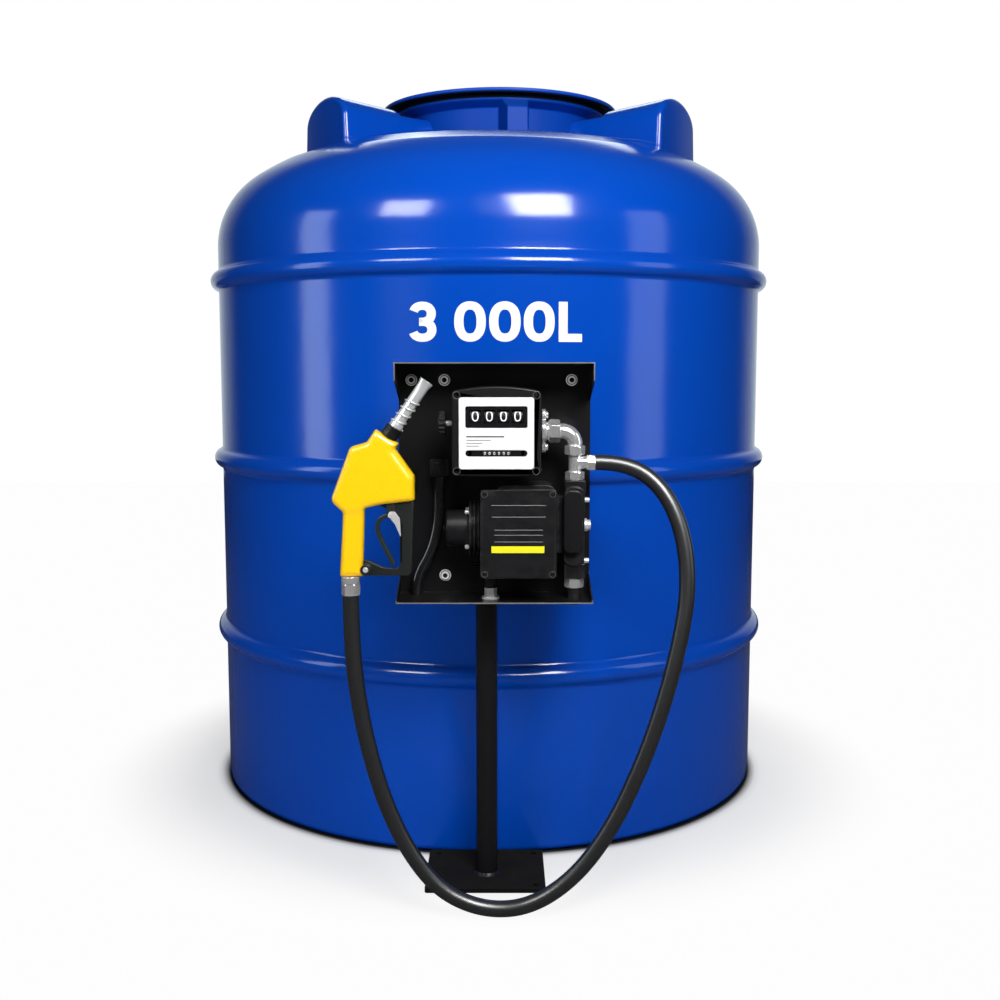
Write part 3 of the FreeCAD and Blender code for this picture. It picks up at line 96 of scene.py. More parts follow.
class TankSettings(PropertyGroup):
    """Sizes of the moulded tank."""

    wall_radius: length("Wall radius", "Outer radius of the wall between its ribs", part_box("tank_floor")[1].x)
    foot_radius: length("Foot rounding", "Rounding between the floor and the wall", 0.018)
    wall_top: length("Wall top", "Height at which the shoulder starts", 1.482)
    rib_proud: length("Rib height", "How far a rib stands out of the wall", 0.022)
    rib_radius: length("Rib radius", "Radius of a rib's crest", 0.025)
    rib_foot: length("Rib foot", "Radius of the hollow beside a rib", 0.012)
    shoulder_radius: length("Shoulder radius", "Radius of the shoulder seen in section", 0.218)
    top_x: length("Manhole offset", "Sideways offset of the manhole from the tank's axis", 0.030)
    neck_radius: length("Neck radius", "Outer radius of the manhole neck", 0.271)
    hump_reach: length("Hump reach", "Distance of a hump's end from the manhole's centre", 0.540)
    hump_edge: length("Hump edge", "Rounding of a hump's end", 0.014)
    cove: length("Cove", "Size of the hollow where a hump meets the roof", 0.010)
    neck_cove: length("Neck cove", "Size of the hollow where the manhole neck meets the roof", 0.020)
    turn_steps: IntProperty(name="Steps", description="Faces around the tank", default=288)


class NozzleSettings(PropertyGroup):
    """Sizes of the trigger nozzle."""

    plane: length("Middle plane", "Distance of the nozzle's middle plane along Y", -1.085)
    half_depth: length("Half depth", "Half the thickness of the cover", 0.021)
    handle_half: length("Handle half depth", "Half the thickness of the handle", 0.018)
    edge: length("Edge rounding", "Rounding of the cover's long edges", 0.0125)
    spout_radius: length("Spout radius", "Outer radius of the spout", 0.0125)
    wire_radius: length("Spring wire", "Radius of the spout spring's wire", 0.0015)
    coils: IntProperty(name="Coils", description="Turns of the spout's spring", default=4)


class HoseSettings(PropertyGroup):
    """Sizes of the delivery hose and the power cable."""

    hose_radius: length("Hose radius", "Outer radius of the delivery hose", 0.017)
    cable_radius: length("Cable radius", "Outer radius of the power cable", 0.012)


class FinishSettings(PropertyGroup):
    """Colours of the finishes."""

    tank: colour("Tank", "Moulded plastic of the tank", TINTS["tank_plastic"])
    cover: colour("Nozzle cover", "Moulded cover of the nozzle", (0.93, 0.57, 0.0))
    paint: colour("Black paint", "Powder coat of the pedestal and panel", (0.007, 0.007, 0.008))
    casting: colour("Castings", "Paint of the pump and meter castings", (0.008, 0.008, 0.009))
    rubber: colour("Hose", "Rubber of the hose", (0.009, 0.009, 0.010))
    ink: colour("Lettering", "Paint of the capacity lettering", (0.90, 0.90, 0.90))
    strip: colour("Strip", "Plain strip on the pump's cover", (0.80, 0.74, 0.01))


class StageSettings(PropertyGroup):
    """The camera, the lamps and the floor."""

    lens: FloatProperty(name="Lens", description="Focal length of the camera", default=42.92, unit="CAMERA")
    camera_height: length("Camera height", "Height of the camera above the floor", 1.1436)
    camera_back: length("Camera distance", "Distance of the camera along -Y", 3.5028)
    camera_side: length("Camera side", "Offset of the camera along X", 0.0317)
    tilt: FloatProperty(name="Tilt", description="How far the camera looks down", default=math.radians(6.12),
                        subtype="ANGLE")
    key: amount("Key light", "Radiance of the right softbox as a light", 22.0)
    fill: amount("Fill light", "Radiance of the left softbox as a light", 6.5)
    key_shine: amount("Key reflection", "Radiance of the right softbox as it is mirrored", 34.0)
    fill_shine: amount("Fill reflection", "Radiance of the left softbox as it is mirrored", 19.0)
    back: amount("Back light", "Radiance of the softbox behind as a light", 8.0)
    top_shine: amount("Top reflection", "Radiance of the lamp high behind as it is mirrored", 2.7)
    strips: amount("Side strips", "Radiance of the strip lamps as they are mirrored", 4.7)
    room: amount("Room light", "Level of the soft light from all around", 0.14)


# Small tools

CREASE = 38.0
ROLL_ANGLE = 35.0


def add_object(name, data):
    obj = bpy.data.objects.new(name, data)
    bpy.context.scene.collection.objects.link(obj)
    return obj


def as_object(bm, name, crease=CREASE):
    """A mesh object from a bmesh, smooth except over sharp corners."""
    bmesh.ops.recalc_face_normals(bm, faces=bm.faces[:])
    mesh = bpy.data.meshes.new(name)
    bm.to_mesh(mesh)
    bm.free()
    mesh.shade_smooth()
    mesh.set_sharp_from_angle(angle=math.radians(crease))
    return add_object(name, mesh)


def settle(obj, finish, body=SET, nodes=()):
    """Gives a piece its finish and the body it rides on, and hides the solids it stands for."""
    obj.data.materials.clear()
    obj.data.materials.append(material(finish))
    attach(obj, body)
    if nodes:
        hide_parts(*nodes)
    return obj


def piece(bm, name, finish, crease=CREASE, nodes=()):
    """A piece of the fixed set, from a bmesh."""
    return settle(as_object(bm, name, crease), finish, nodes=nodes)


def arc_points(centre, radius, start, end, count):
    """Points of an arc in a plane, its angles in degrees."""
    turns = np.radians(np.linspace(start, end, count))
    return [(centre[0] + radius * math.cos(a), centre[1] + radius * math.sin(a)) for a in turns]


def lathe(bm, profile, steps, place=Matrix.Identity(4)):
    """Turns a profile of radius and height pairs about the local Z axis."""
    rings = []
    for radius, height in profile:
        if radius < 1e-6:
            rings.append([bm.verts.new(place @ Vector((0, 0, height)))] * steps)
            continue
        ring = []
        for i in range(steps):
            a = 2 * math.pi * i / steps
            ring.append(bm.verts.new(place @ Vector((radius * math.cos(a), radius * math.sin(a), height))))
        rings.append(ring)
    skin(bm, rings, True)


def skin(bm, rings, closed):
    """Faces between rings of equally many points."""
    count = len(rings[0])
    for low, high in zip(rings, rings[1:]):
        for i in range(count if closed else count - 1):
            j = (i + 1) % count
            corners = list(dict.fromkeys((low[i], low[j], high[j], high[i])))
            if len(corners) > 2:
                bm.faces.new(corners)


def roll_edges(obj, radius, segments):
    roll = obj.modifiers.new("Rolled edges", "BEVEL")
    roll.width = radius
    roll.segments = segments
    roll.limit_method = "ANGLE"
    roll.angle_limit = math.radians(ROLL_ANGLE)
    return roll


def slot_of(solid):
    for part in frame["record"]["subparts"]:
        if part["node"] == solid:
            return part["material_slot"]
    raise ValueError("no slot for " + solid)


def rounded_copy(solid, radius, segments=2, finish=None):
    """A copy of a solid with its sharp edges rolled, which stands for the solid."""
    source = frame["nodes"][solid]
    bm = bmesh.new()
    bm.from_mesh(source.data)
    bmesh.ops.remove_doubles(bm, verts=bm.verts[:], dist=2e-5)
    bmesh.ops.dissolve_limit(bm, angle_limit=math.radians(0.6), verts=bm.verts[:], edges=bm.edges[:])
    obj = as_object(bm, solid + "_skin", ROLL_ANGLE)
    roll_edges(obj, radius, segments).use_clamp_overlap = False
    obj.modifiers.new("Even normals", "WEIGHTED_NORMAL").keep_sharp = True
    slot = slot_of(solid)
    return settle(obj, finish or slot, source["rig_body"], (solid,))


# Shader nodes


def node(tree, kind, values=None, **settings):
    """A shader node; a value that is a socket is linked."""
    made = tree.nodes.new(kind)
    for key, value in settings.items():
        setattr(made, key, value)
    for key, value in (values or {}).items():
        if isinstance(value, bpy.types.NodeSocket):
            tree.links.new(value, made.inputs[key])
        else:
            made.inputs[key].default_value = value
    return made


def maths(tree, operation, *values, **settings):
    return node(tree, "ShaderNodeMath", dict(enumerate(values)), operation=operation, **settings).outputs[0]


def span(tree, value, start, end, low=0.0, high=1.0, **settings):
    """A value carried from one range to another and held at its ends."""
    values = {"Value": value, "From Min": start, "From Max": end, "To Min": low, "To Max": high}
    return node(tree, "ShaderNodeMapRange", values, **settings).outputs[0]


def blend(tree, share, first, second):
    """A colour between two others."""
    return node(tree, "ShaderNodeMix", {"Factor": share, 6: first, 7: second}, data_type="RGBA").outputs[2]


def noise(tree, scale, detail, roughness=0.5):
    """Noise that stays with the piece."""
    place = node(tree, "ShaderNodeTexCoord").outputs["Object"]
    values = {"Vector": place, "Scale": scale, "Detail": detail, "Roughness": roughness}
    return node(tree, "ShaderNodeTexNoise", values).outputs["Fac"]


def bump(tree, height, distance, before=None):
    """A normal from a height, laid over the bumps before it."""
    values = {"Height": height, "Strength": 1.0, "Distance": distance}
    if before is not None:
        values["Normal"] = before
    return node(tree, "ShaderNodeBump", values).outputs["Normal"]


def effect(name, output, inputs):
    """An empty node group: its tree, its inputs and the socket of its one output."""
    tree = bpy.data.node_groups.new(name, "ShaderNodeTree")
    for label, value in inputs.items():
        socket = tree.interface.new_socket(label, in_out="INPUT", socket_type="NodeSocketFloat")
        socket.default_value = value
    tree.interface.new_socket(output, in_out="OUTPUT", socket_type="NodeSocketFloat")
    return tree, tree.nodes.new("NodeGroupInput").outputs, tree.nodes.new("NodeGroupOutput").inputs[0]


def use(tree, name, **values):
    """The output of a shared effect with these values."""
    made = tree.nodes.new("ShaderNodeGroup")
    made.node_tree = bpy.data.node_groups[name]
    for key, value in values.items():
        made.inputs[key].default_value = value
    return made.outputs[0]


# Shared effects


def build_grain():
    """Fine surface grain, as a height."""
    tree, given, out = effect("Surface grain", "Height", {"Scale": 300.0, "Roughness": 0.6})
    tree.links.new(noise(tree, given["Scale"], 3.0, given["Roughness"]), out)


def build_handling():
    """Slow change of gloss from handling, as a roughness."""
    tree, given, out = effect("Handling marks", "Roughness", {"Scale": 6.0, "Base": 0.3, "Spread": 0.08})
    centred = maths(tree, "SUBTRACT", noise(tree, given["Scale"], 5.0, 0.62), 0.5)
    tree.links.new(maths(tree, "MULTIPLY_ADD", centred, given["Spread"], given["Base"]), out)


def build_wear():
    """Rubbed edges, as a mask."""
    tree, given, out = effect("Edge wear", "Mask", {"Amount": 0.5, "Scale": 60.0})
    shape = node(tree, "ShaderNodeNewGeometry")
    edge = span(tree, shape.outputs["Pointiness"], 0.52, 0.60)
    broken = span(tree, noise(tree, given["Scale"], 4.0), 0.35, 0.65)
    both = maths(tree, "MULTIPLY", edge, broken)
    tree.links.new(maths(tree, "MULTIPLY", both, given["Amount"], use_clamp=True), out)


def build_dust():
    """A thin film of dust on what faces up, as a mask."""
    tree, given, out = effect("Settled dust", "Mask", {"Amount": 0.05, "Scale": 14.0})
    shape = node(tree, "ShaderNodeNewGeometry")
    parts = node(tree, "ShaderNodeSeparateXYZ", {"Vector": shape.outputs["Normal"]})
    up = span(tree, parts.outputs["Z"], 0.3, 1.0)
    both = maths(tree, "MULTIPLY", up, noise(tree, given["Scale"], 6.0, 0.7))
    tree.links.new(maths(tree, "MULTIPLY", both, given["Amount"]), out)


def build_lines():
    """Fine lines round a turned or brushed part, as a height."""
    tree, given, out = effect("Turning lines", "Height", {"Along": 900.0, "Across": 12.0})
    place = node(tree, "ShaderNodeTexCoord")
    across = given["Across"]
    stretch = node(tree, "ShaderNodeCombineXYZ", {"X": across, "Y": across, "Z": given["Along"]})
    scaled = node(tree, "ShaderNodeVectorMath", {0: place.outputs["Object"], 1: stretch.outputs[0]},
                  operation="MULTIPLY")
    lines = node(tree, "ShaderNodeTexNoise", {"Vector": scaled.outputs[0], "Scale": 1.0, "Detail": 2.0})
    tree.links.new(lines.outputs["Fac"], out)


# Finishes

# What a finish has where its recipe says nothing else: the share, scale and tint of its second colour; roughness
# and the spread and scale of its marks; metallic, coat and reflectance; the scale and height of the grain and of
# the slow waves, and the height of turned lines; dust; wear and its colour
PLAIN = {
    "mottle": 0.0, "mottle_scale": 5.0, "second": None, "rough": 0.35, "spread": 0.08, "marks": 6.0, "metal": 0.0,
    "coat": 0.0, "coat_rough": 0.08, "level": 0.5, "grain": 400.0, "grain_height": 0.00002, "wave": 18.0,
    "wave_height": 0.0, "lines": 0.0, "dust": 0.02, "wear": 0.0, "worn": (0.35, 0.35, 0.35),
}
TANK_SHADE = 0.88
# The neck's tint is the tank's darkened further: painted shade on the neck
NECK_PAINTED_SHADE = 0.78
DUST_COLOUR = (0.55, 0.53, 0.50, 1.0)
SHADER_LEVELS = {"Metallic": "metal", "Specular IOR Level": "level", "Coat Weight": "coat",
                 "Coat Roughness": "coat_rough"}


def grey(level):
    return (level, level, level)


def finish_recipes():
    """What each finish is made of."""
    tints = bpy.context.scene.tank_finishes
    tank = tuple(TANK_SHADE * value for value in tints.tank)
    neck = tuple(NECK_PAINTED_SHADE * value for value in tank)
    return {
        "tank_plastic": dict(tint=tank, second=(0.0, tank[1] * 0.86, tank[2] * 0.9), mottle=0.5, rough=0.155,
                             spread=0.05, marks=3.0, level=0.40, grain=700.0, grain_height=0.000012, wave=14.0,
                             wave_height=0.0005, dust=0.012),
        # The tank's plastic with painted shade in its tint, and a rougher, duller finish
        "neck_plastic": dict(tint=neck, rough=0.46, level=0.07, grain=700.0, grain_height=0.000012),
        "lid_plastic": dict(tint=tank, rough=0.46, level=0.14, grain=700.0, grain_height=0.00003),
        "lettering_ink": dict(tint=tints.ink, grain=500.0),
        "black_paint": dict(tint=tints.paint, second=(0.010, 0.010, 0.011), mottle=0.5, rough=0.30, level=0.24,
                            spread=0.10, grain=1100.0, grain_height=0.00007, dust=0.003, wear=0.25,
                            worn=(0.22, 0.21, 0.20)),
        "plate_paint": dict(tint=grey(0.006), rough=0.85, level=0.03, grain=1100.0, grain_height=0.00007),
        "sheet_edge": dict(tint=(0.20, 0.19, 0.18), second=grey(0.06), mottle=0.7, mottle_scale=50.0, rough=0.34,
                           spread=0.1, grain=1100.0, grain_height=0.00005),
        "black_casting": dict(tint=tints.casting, second=(0.005, 0.005, 0.006), mottle=0.6, rough=0.32, level=0.28,
                              spread=0.1, grain=650.0, grain_height=0.00012, dust=0.010, wear=0.3,
                              worn=grey(0.16)),
        "black_plastic": dict(tint=(0.008, 0.008, 0.009), rough=0.30, level=0.35, grain=900.0,
                              grain_height=0.00004),
        "window_black": dict(tint=(0.006, 0.006, 0.007), rough=0.22, spread=0.05, grain_height=0.00001),
        "white_plastic": dict(tint=grey(0.76), second=(0.70, 0.70, 0.71), mottle=0.4, rough=0.28, level=0.4,
                              grain=700.0, grain_height=0.00001),
        "digit_white": dict(tint=grey(0.95), rough=0.4),
        "rule_grey": dict(tint=grey(0.10), rough=0.5),
        # Grey of the rings round screws: painted highlight on the recess rims
        "rim_highlight_grey": dict(tint=grey(0.07)),
        # Near-white of the rings on the bolts: painted highlight
        "painted_highlight_white": dict(tint=(0.95, 0.95, 0.94), grain=1500.0),
        # Black in the bolts' sockets and round their heads: painted shade
        "painted_shade_black": dict(tint=grey(0.004), rough=0.6, level=0.2),
        "rule_dark": dict(tint=(0.22, 0.22, 0.23), rough=0.5),
        "strip_yellow": dict(tint=tints.strip, grain_height=0.00001),
        "zinc_steel": dict(tint=(0.78, 0.78, 0.77), second=(0.60, 0.60, 0.61), mottle=0.5, mottle_scale=60.0,
                           rough=0.30, spread=0.12, marks=40.0, metal=0.5, grain=1500.0, grain_height=0.00003),
        "bright_zinc": dict(tint=grey(0.90), second=(0.72, 0.72, 0.73), mottle=0.5, mottle_scale=40.0, rough=0.17,
                            spread=0.1, marks=50.0, metal=0.76, grain=900.0),
        "spout_metal": dict(tint=(0.84, 0.85, 0.86), second=(0.70, 0.71, 0.72), mottle=0.5, mottle_scale=50.0,
                            rough=0.24, spread=0.1, marks=60.0, metal=0.62, grain_height=0.00001, lines=0.00004),
        "hose_rubber": dict(tint=tints.rubber, second=(0.012, 0.012, 0.013), mottle=0.5, mottle_scale=20.0,
                            rough=0.33, spread=0.06, level=0.95, grain=900.0, grain_height=0.00009, wave=160.0,
                            wave_height=0.00012, dust=0.03),
        "cable_rubber": dict(tint=(0.008, 0.008, 0.009), rough=0.20, spread=0.06, level=0.8, grain=900.0,
                             grain_height=0.00004),
        # Black of the seal: partly real rubber, and on its brim under the lid painted shade
        "seal_and_shade_black": dict(tint=grey(0.003), rough=0.7, level=0.08),
        "yellow_paint": dict(tint=tints.cover, second=(0.90, 0.50, 0.0), mottle=0.25, mottle_scale=9.0, rough=0.27,
                             spread=0.05, coat=0.5, coat_rough=0.1, grain=900.0, grain_height=0.000015, wave=60.0,
                             wave_height=0.00008),
        "guard_plastic": dict(tint=(0.011, 0.014, 0.012), second=(0.008, 0.010, 0.009), mottle=0.5, rough=0.40,
                              level=0.3, grain=1200.0, grain_height=0.00005, wear=0.4, worn=(0.12, 0.13, 0.12)),
        "lever_plastic": dict(tint=(0.014, 0.022, 0.016), rough=0.30, grain=1200.0, grain_height=0.00004, wear=0.4,
                              worn=(0.10, 0.12, 0.10)),
    }


def material(name):
    """The finish of that name, built when it is first asked for."""
    if name in bpy.data.materials and bpy.data.materials[name].get("ready"):
        return bpy.data.materials[name]
    facts = {**PLAIN, **finish_recipes()[name]}
    made = bpy.data.materials.new(name)
    made.use_nodes = True
    made["ready"] = True
    tree = made.node_tree
    shader = tree.nodes["Principled BSDF"]
    patches = maths(tree, "MULTIPLY", noise(tree, facts["mottle_scale"], 5.0), facts["mottle"])
    base = blend(tree, patches, (*facts["tint"], 1.0), (*(facts["second"] or facts["tint"]), 1.0))
    base = blend(tree, use(tree, "Settled dust", Amount=facts["dust"]), base, DUST_COLOUR)
    if facts["wear"]:
        base = blend(tree, use(tree, "Edge wear", Amount=facts["wear"]), base, (*facts["worn"], 1.0))
    rough = use(tree, "Handling marks", Scale=facts["marks"], Base=facts["rough"], Spread=facts["spread"])
    normal = bump(tree, use(tree, "Surface grain", Scale=facts["grain"]), facts["grain_height"])
    if facts["wave_height"]:
        waves = use(tree, "Surface grain", Scale=facts["wave"], Roughness=0.4)
        normal = bump(tree, waves, facts["wave_height"], normal)
    if facts["lines"]:
        normal = bump(tree, use(tree, "Turning lines"), facts["lines"], normal)
    for socket, value in (("Base Color", base), ("Roughness", rough), ("Normal", normal)):
        tree.links.new(value, shader.inputs[socket])
    for socket, fact in SHADER_LEVELS.items():
        shader.inputs[socket].default_value = facts[fact]
    return made


class TANK_OT_finishes(Operator):
    """Builds the shared effects and gives every solid that stays its finish"""

    bl_idname = "tank_set.finishes"
    bl_label = "Finishes"

    def execute(self, context):
        for build in (build_grain, build_handling, build_wear, build_dust, build_lines):
            build()
        for name, obj in frame["nodes"].items():
            obj.data.materials.clear()
            obj.data.materials.append(material(slot_of(name)))
        return {"FINISHED"}


# Stage

WHITE = (1.0, 1.0, 1.0)
COOL = (0.84, 0.95, 1.0)
# A lamp's name, the point it lights, its bearing and height angle from there, its distance and size, the setting
# that holds its radiance and its share of it, whether it is mirrored in the part or lights it, and its colour
LAMPS = (
    ("Light.right", (0.12, -0.75, 1.30), 10.0, 31.0, 2.6, (1.30, 1.00), "key", 1.0, False, WHITE),
    ("Light.left", (-0.18, -0.74, 0.85), -34.0, 6.0, 3.0, (1.00, 0.80), "fill", 1.0, False, WHITE),
    ("Light.back", (0.0, 0.60, 1.20), 170.0, 30.0, 3.2, (2.40, 1.20), "back", 1.0, False, WHITE),
    ("Shine.right", (0.12, -0.75, 1.52), 22.0, 28.0, 3.0, (1.30, 1.45), "key_shine", 1.0, True, WHITE),
    ("Shine.left", (-0.18, -0.74, 1.51), -34.0, 24.0, 3.0, (1.05, 0.95), "fill_shine", 1.0, True, WHITE),
    ("Shine.strip_left", (-0.40, -0.65, 1.23), -73.0, 9.0, 2.0, (0.55, 1.52), "strips", 1.0, True, COOL),
    ("Shine.strip_right", (0.40, -0.65, 1.23), 66.0, 9.0, 2.0, (0.70, 1.52), "strips", 0.5, True, COOL),
    ("Shine.back", (0.0, -0.57, 1.71), 180.0, 33.0, 3.0, (2.30, 0.55), "top_shine", 1.0, True, COOL),
)
FLOOR_HALF = 9.0
FLOOR_Z = -0.0005
# Distances from the tank's axis: the painted contact shadow, where the floor shows beside the tank, and where the
# kept shadow turns to the white backdrop
PAINTED_CONTACT_SHADOW = (0.762, 0.785)
FLOOR_EDGE = (0.765, 0.800)
FLOOR_FADE = (0.78, 1.17)


def softbox(name, aim, azimuth, height_angle, distance, size, radiance, mirrored, tint):
    """A square lamp at a bearing from the point it lights; it either lights the part or is mirrored in it."""
    a = math.radians(azimuth)
    e = math.radians(height_angle)
    away = Vector((math.sin(a) * math.cos(e), -math.cos(a) * math.cos(e), math.sin(e)))
    lamp = bpy.data.lights.new(name, "AREA")
    lamp.shape = "RECTANGLE"
    lamp.size, lamp.size_y = size
    lamp.energy = radiance * math.pi * size[0] * size[1]
    lamp.color = tint
    obj = add_object(name, lamp)
    obj.visible_camera = False
    obj.visible_glossy = mirrored
    obj.visible_diffuse = not mirrored
    obj.location = Vector(aim) + away * distance
    obj.rotation_euler = away.to_track_quat("Z", "Y").to_euler()


def build_world(room):
    """White behind the part, a dim studio in front of it, and an even soft light."""
    world = bpy.data.worlds.new("Studio")
    bpy.context.scene.world = world
    world.use_nodes = True
    tree = world.node_tree
    tree.nodes.clear()
    rays = node(tree, "ShaderNodeLightPath").outputs
    place = node(tree, "ShaderNodeTexCoord")
    parts = node(tree, "ShaderNodeSeparateXYZ", {"Vector": place.outputs["Generated"]}).outputs
    behind = maths(tree, "MULTIPLY_ADD", span(tree, parts["Y"], 0.617, 1.0), span(tree, parts["Z"], 0.66, 0.52),
                   0.025)
    seen = maths(tree, "MAXIMUM", rays["Is Camera Ray"], rays["Is Transmission Ray"])
    mirrored = maths(tree, "MULTIPLY", rays["Is Glossy Ray"], behind)
    soft = maths(tree, "MULTIPLY", rays["Is Diffuse Ray"], room)
    level = maths(tree, "MAXIMUM", maths(tree, "MAXIMUM", seen, mirrored), soft)
    tone = blend(tree, rays["Is Glossy Ray"], (*WHITE, 1.0), (*COOL, 1.0))
    light = node(tree, "ShaderNodeBackground", {"Color": tone, "Strength": level})
    node(tree, "ShaderNodeOutputWorld", {"Surface": light.outputs[0]})


def floor_material():
    """Pale floor that keeps the shadow near the part, darkens to a painted contact shadow at the tank's foot, and
    turns to the white backdrop further out.
    """
    made = bpy.data.materials.new("studio_floor")
    made.use_nodes = True
    tree = made.node_tree
    tree.nodes.clear()
    rays = node(tree, "ShaderNodeLightPath").outputs
    place = node(tree, "ShaderNodeTexCoord")
    flat = node(tree, "ShaderNodeVectorMath", {0: place.outputs["Object"], 1: (1.0, 1.0, 0.0)},
                operation="MULTIPLY")
    reach = node(tree, "ShaderNodeVectorMath", {0: flat.outputs[0]}, operation="LENGTH").outputs["Value"]
    far = span(tree, reach, *FLOOR_FADE, 0.53, 1.0, interpolation_type="SMOOTHSTEP")
    kept = maths(tree, "MULTIPLY", far, span(tree, reach, *FLOOR_EDGE))
    share = maths(tree, "MULTIPLY", kept, rays["Is Camera Ray"])
    tone = span(tree, rays["Is Glossy Ray"], 0.0, 1.0, 0.82, 0.12)
    # Painted contact shadow: the floor's colour falls to near black in a ring at the tank's foot
    shade = maths(tree, "MULTIPLY", tone, span(tree, reach, *PAINTED_CONTACT_SHADOW, 0.02, 1.0))
    matt = node(tree, "ShaderNodeBsdfDiffuse", {"Color": shade})
    white = node(tree, "ShaderNodeEmission", {"Color": (*WHITE, 1.0), "Strength": 0.985})
    mix = node(tree, "ShaderNodeMixShader", {0: share, 1: matt.outputs[0], 2: white.outputs[0]})
    node(tree, "ShaderNodeOutputMaterial", {"Surface": mix.outputs[0]})
    return made


class TANK_OT_stage(Operator):
    """Puts up the camera, the lamps, the backdrop and the floor"""

    bl_idname = "tank_set.stage"
    bl_label = "Stage"

    def execute(self, context):
        facts = context.scene.tank_stage
        scene = context.scene
        scene.view_settings.view_transform = "Standard"
        lens = bpy.data.cameras.new("Camera")
        lens.lens = facts.lens
        lens.sensor_width = 36.0
        camera = add_object("Camera", lens)
        camera.location = (facts.camera_side, -facts.camera_back, facts.camera_height)
        camera.rotation_euler = (math.pi / 2 - facts.tilt, 0, 0)
        scene.camera = camera
        build_world(facts.room)
        for name, aim, azimuth, rise, distance, size, setting, share, mirrored, tint in LAMPS:
            softbox(name, aim, azimuth, rise, distance, size, getattr(facts, setting) * share, mirrored, tint)
        bm = bmesh.new()
        bm.faces.new([bm.verts.new((x * FLOOR_HALF, y * FLOOR_HALF, FLOOR_Z))
                      for x, y in ((-1, -1), (1, -1), (1, 1), (-1, 1))])
        floor = as_object(bm, "Floor")
        floor.data.materials.append(floor_material())
        return {"FINISHED"}


# Hose and cable

HOSE_ROUTE = (
    (0.232, -1.000, 0.955), (0.300, -1.000, 0.955), (0.372, -1.024, 0.905), (0.413, -1.045, 0.815),
    (0.424, -1.062, 0.700), (0.404, -1.078, 0.580), (0.366, -1.090, 0.440), (0.322, -1.098, 0.320),
    (0.266, -1.104, 0.200), (0.192, -1.108, 0.096), (0.098, -1.110, 0.030), (0.000, -1.110, 0.022),
    (-0.092, -1.108, 0.062), (-0.158, -1.104, 0.144), (-0.210, -1.099, 0.256), (-0.246, -1.094, 0.384),
    (-0.268, -1.089, 0.510), (-0.275, -1.085, 0.620), (-0.275, -1.085, 0.688),
)
CABLE_ROUTE = (
    (-0.099, -0.947, 0.9207), (-0.099, -0.947, 0.868), (-0.102, -0.947, 0.812), (-0.118, -0.947, 0.754),
    (-0.149, -0.947, 0.702), (-0.149, -0.947, 0.6643),
)


def spline_tube(name, route, radius):
    """A round tube along one smooth curve that the route's points steer."""
    curve = bpy.data.curves.new(name, "CURVE")
    curve.dimensions = "3D"
    spline = curve.splines.new("NURBS")
    spline.points.add(len(route) - 1)
    for point, place in zip(spline.points, route):
        point.co = (*place, 1.0)
    spline.order_u = 3
    spline.use_endpoint_u = True
    curve.resolution_u = 14
    curve.bevel_depth = radius
    curve.bevel_resolution = 7
    curve.use_fill_caps = True
    return add_object(name, curve)


class TANK_OT_hose(Operator):
    """Lays the delivery hose from the pump's tee to the nozzle"""

    bl_idname = "tank_set.hose"
    bl_label = "Delivery hose"

    def execute(self, context):
        radius = context.scene.tank_hose.hose_radius
        hose = spline_tube("delivery_hose_rubber", HOSE_ROUTE, radius)
        settle(hose, "hose_rubber", nodes=("delivery_hose",))
        return {"FINISHED"}


class TANK_OT_cable(Operator):
    """Lays the power cable from its switch down to the shelf"""

    bl_idname = "tank_set.cable"
    bl_label = "Power cable"

    def execute(self, context):
        cable = spline_tube("power_cable_rubber", CABLE_ROUTE, context.scene.tank_hose.cable_radius)
        settle(cable, "cable_rubber", nodes=("power_cable",))
        rounded_copy("cable_switch", 0.0015)
        return {"FINISHED"}


# Tank

RIB_HEIGHTS = (0.43097, 0.90802, 1.39204)
SHOULDER_TURN = 57.0
CROWN_SLOPE = 27.0
# The crown's lighter band and the cone inside it: where each ends, and its slope
BAND_START = 0.600
ROOF_BANDS = ((0.531, 21.5), (0.240, 11.2))
ROOF_KINK = 0.004
HUMP_ANGLES = (-58.5, 61.5, 181.5)
# A hump's half width, arch height and top at its outer end and at its root
HUMP_OUT = (0.126, 0.066, 1.861)
HUMP_IN = (0.075, 0.044, 1.835)
HUMP_BASE = 1.542
HUMP_ROOT = 0.241
HUMP_DRAFT = 5.0
# Steps up a hump's side, over its arch, round its end, and along it
SIDE_STEPS = 8
ARCH_STEPS = 32
END_STEPS = 7
LONG_STEPS = 12
NOTCH_RADIUS = 0.366
NOTCH_LEDGE = 1.818
NOTCH_TOP = 2.0
LUG_ANGLES = (8.0, 128.0, 248.0)
LUG_FOOT = ((-0.0397, -0.268), (-0.027, -0.340), (0.027, -0.340), (0.0397, -0.268))
LUG_COVE = 0.6
COVE_STEPS = 6
COVE_LIFT = 0.0001
# The lid's black seal in section, its wide brim under the lid's overhang a painted shade: radius, and height over
# the neck's top
SEAL_AND_SHADE_PROFILE = (
    (0.3002, -0.0095), (0.3022, -0.0097), (0.3030, -0.009), (0.3030, -0.0028), (0.3040, -0.0022),
    (0.3255, -0.0022), (0.3262, -0.0014), (0.3255, 0.0002), (0.3002, 0.0002), (0.3002, -0.0095),
)


def rib_profile(facts, height):
    """One rib of the wall in section, upwards."""
    crest_x = facts.wall_radius + facts.rib_proud - facts.rib_radius
    foot_x = facts.wall_radius + facts.rib_foot
    rise = math.sqrt((facts.rib_radius + facts.rib_foot) ** 2 - (foot_x - crest_x) ** 2)
    lean = math.degrees(math.atan2(rise, foot_x - crest_x))
    low = arc_points((foot_x, height - rise), facts.rib_foot, 180, 180 - lean, 7)
    crest = arc_points((crest_x, height), facts.rib_radius, -lean, lean, 13)
    high = arc_points((foot_x, height + rise), facts.rib_foot, 180 + lean, 180, 7)
    return low + crest[1:-1] + high


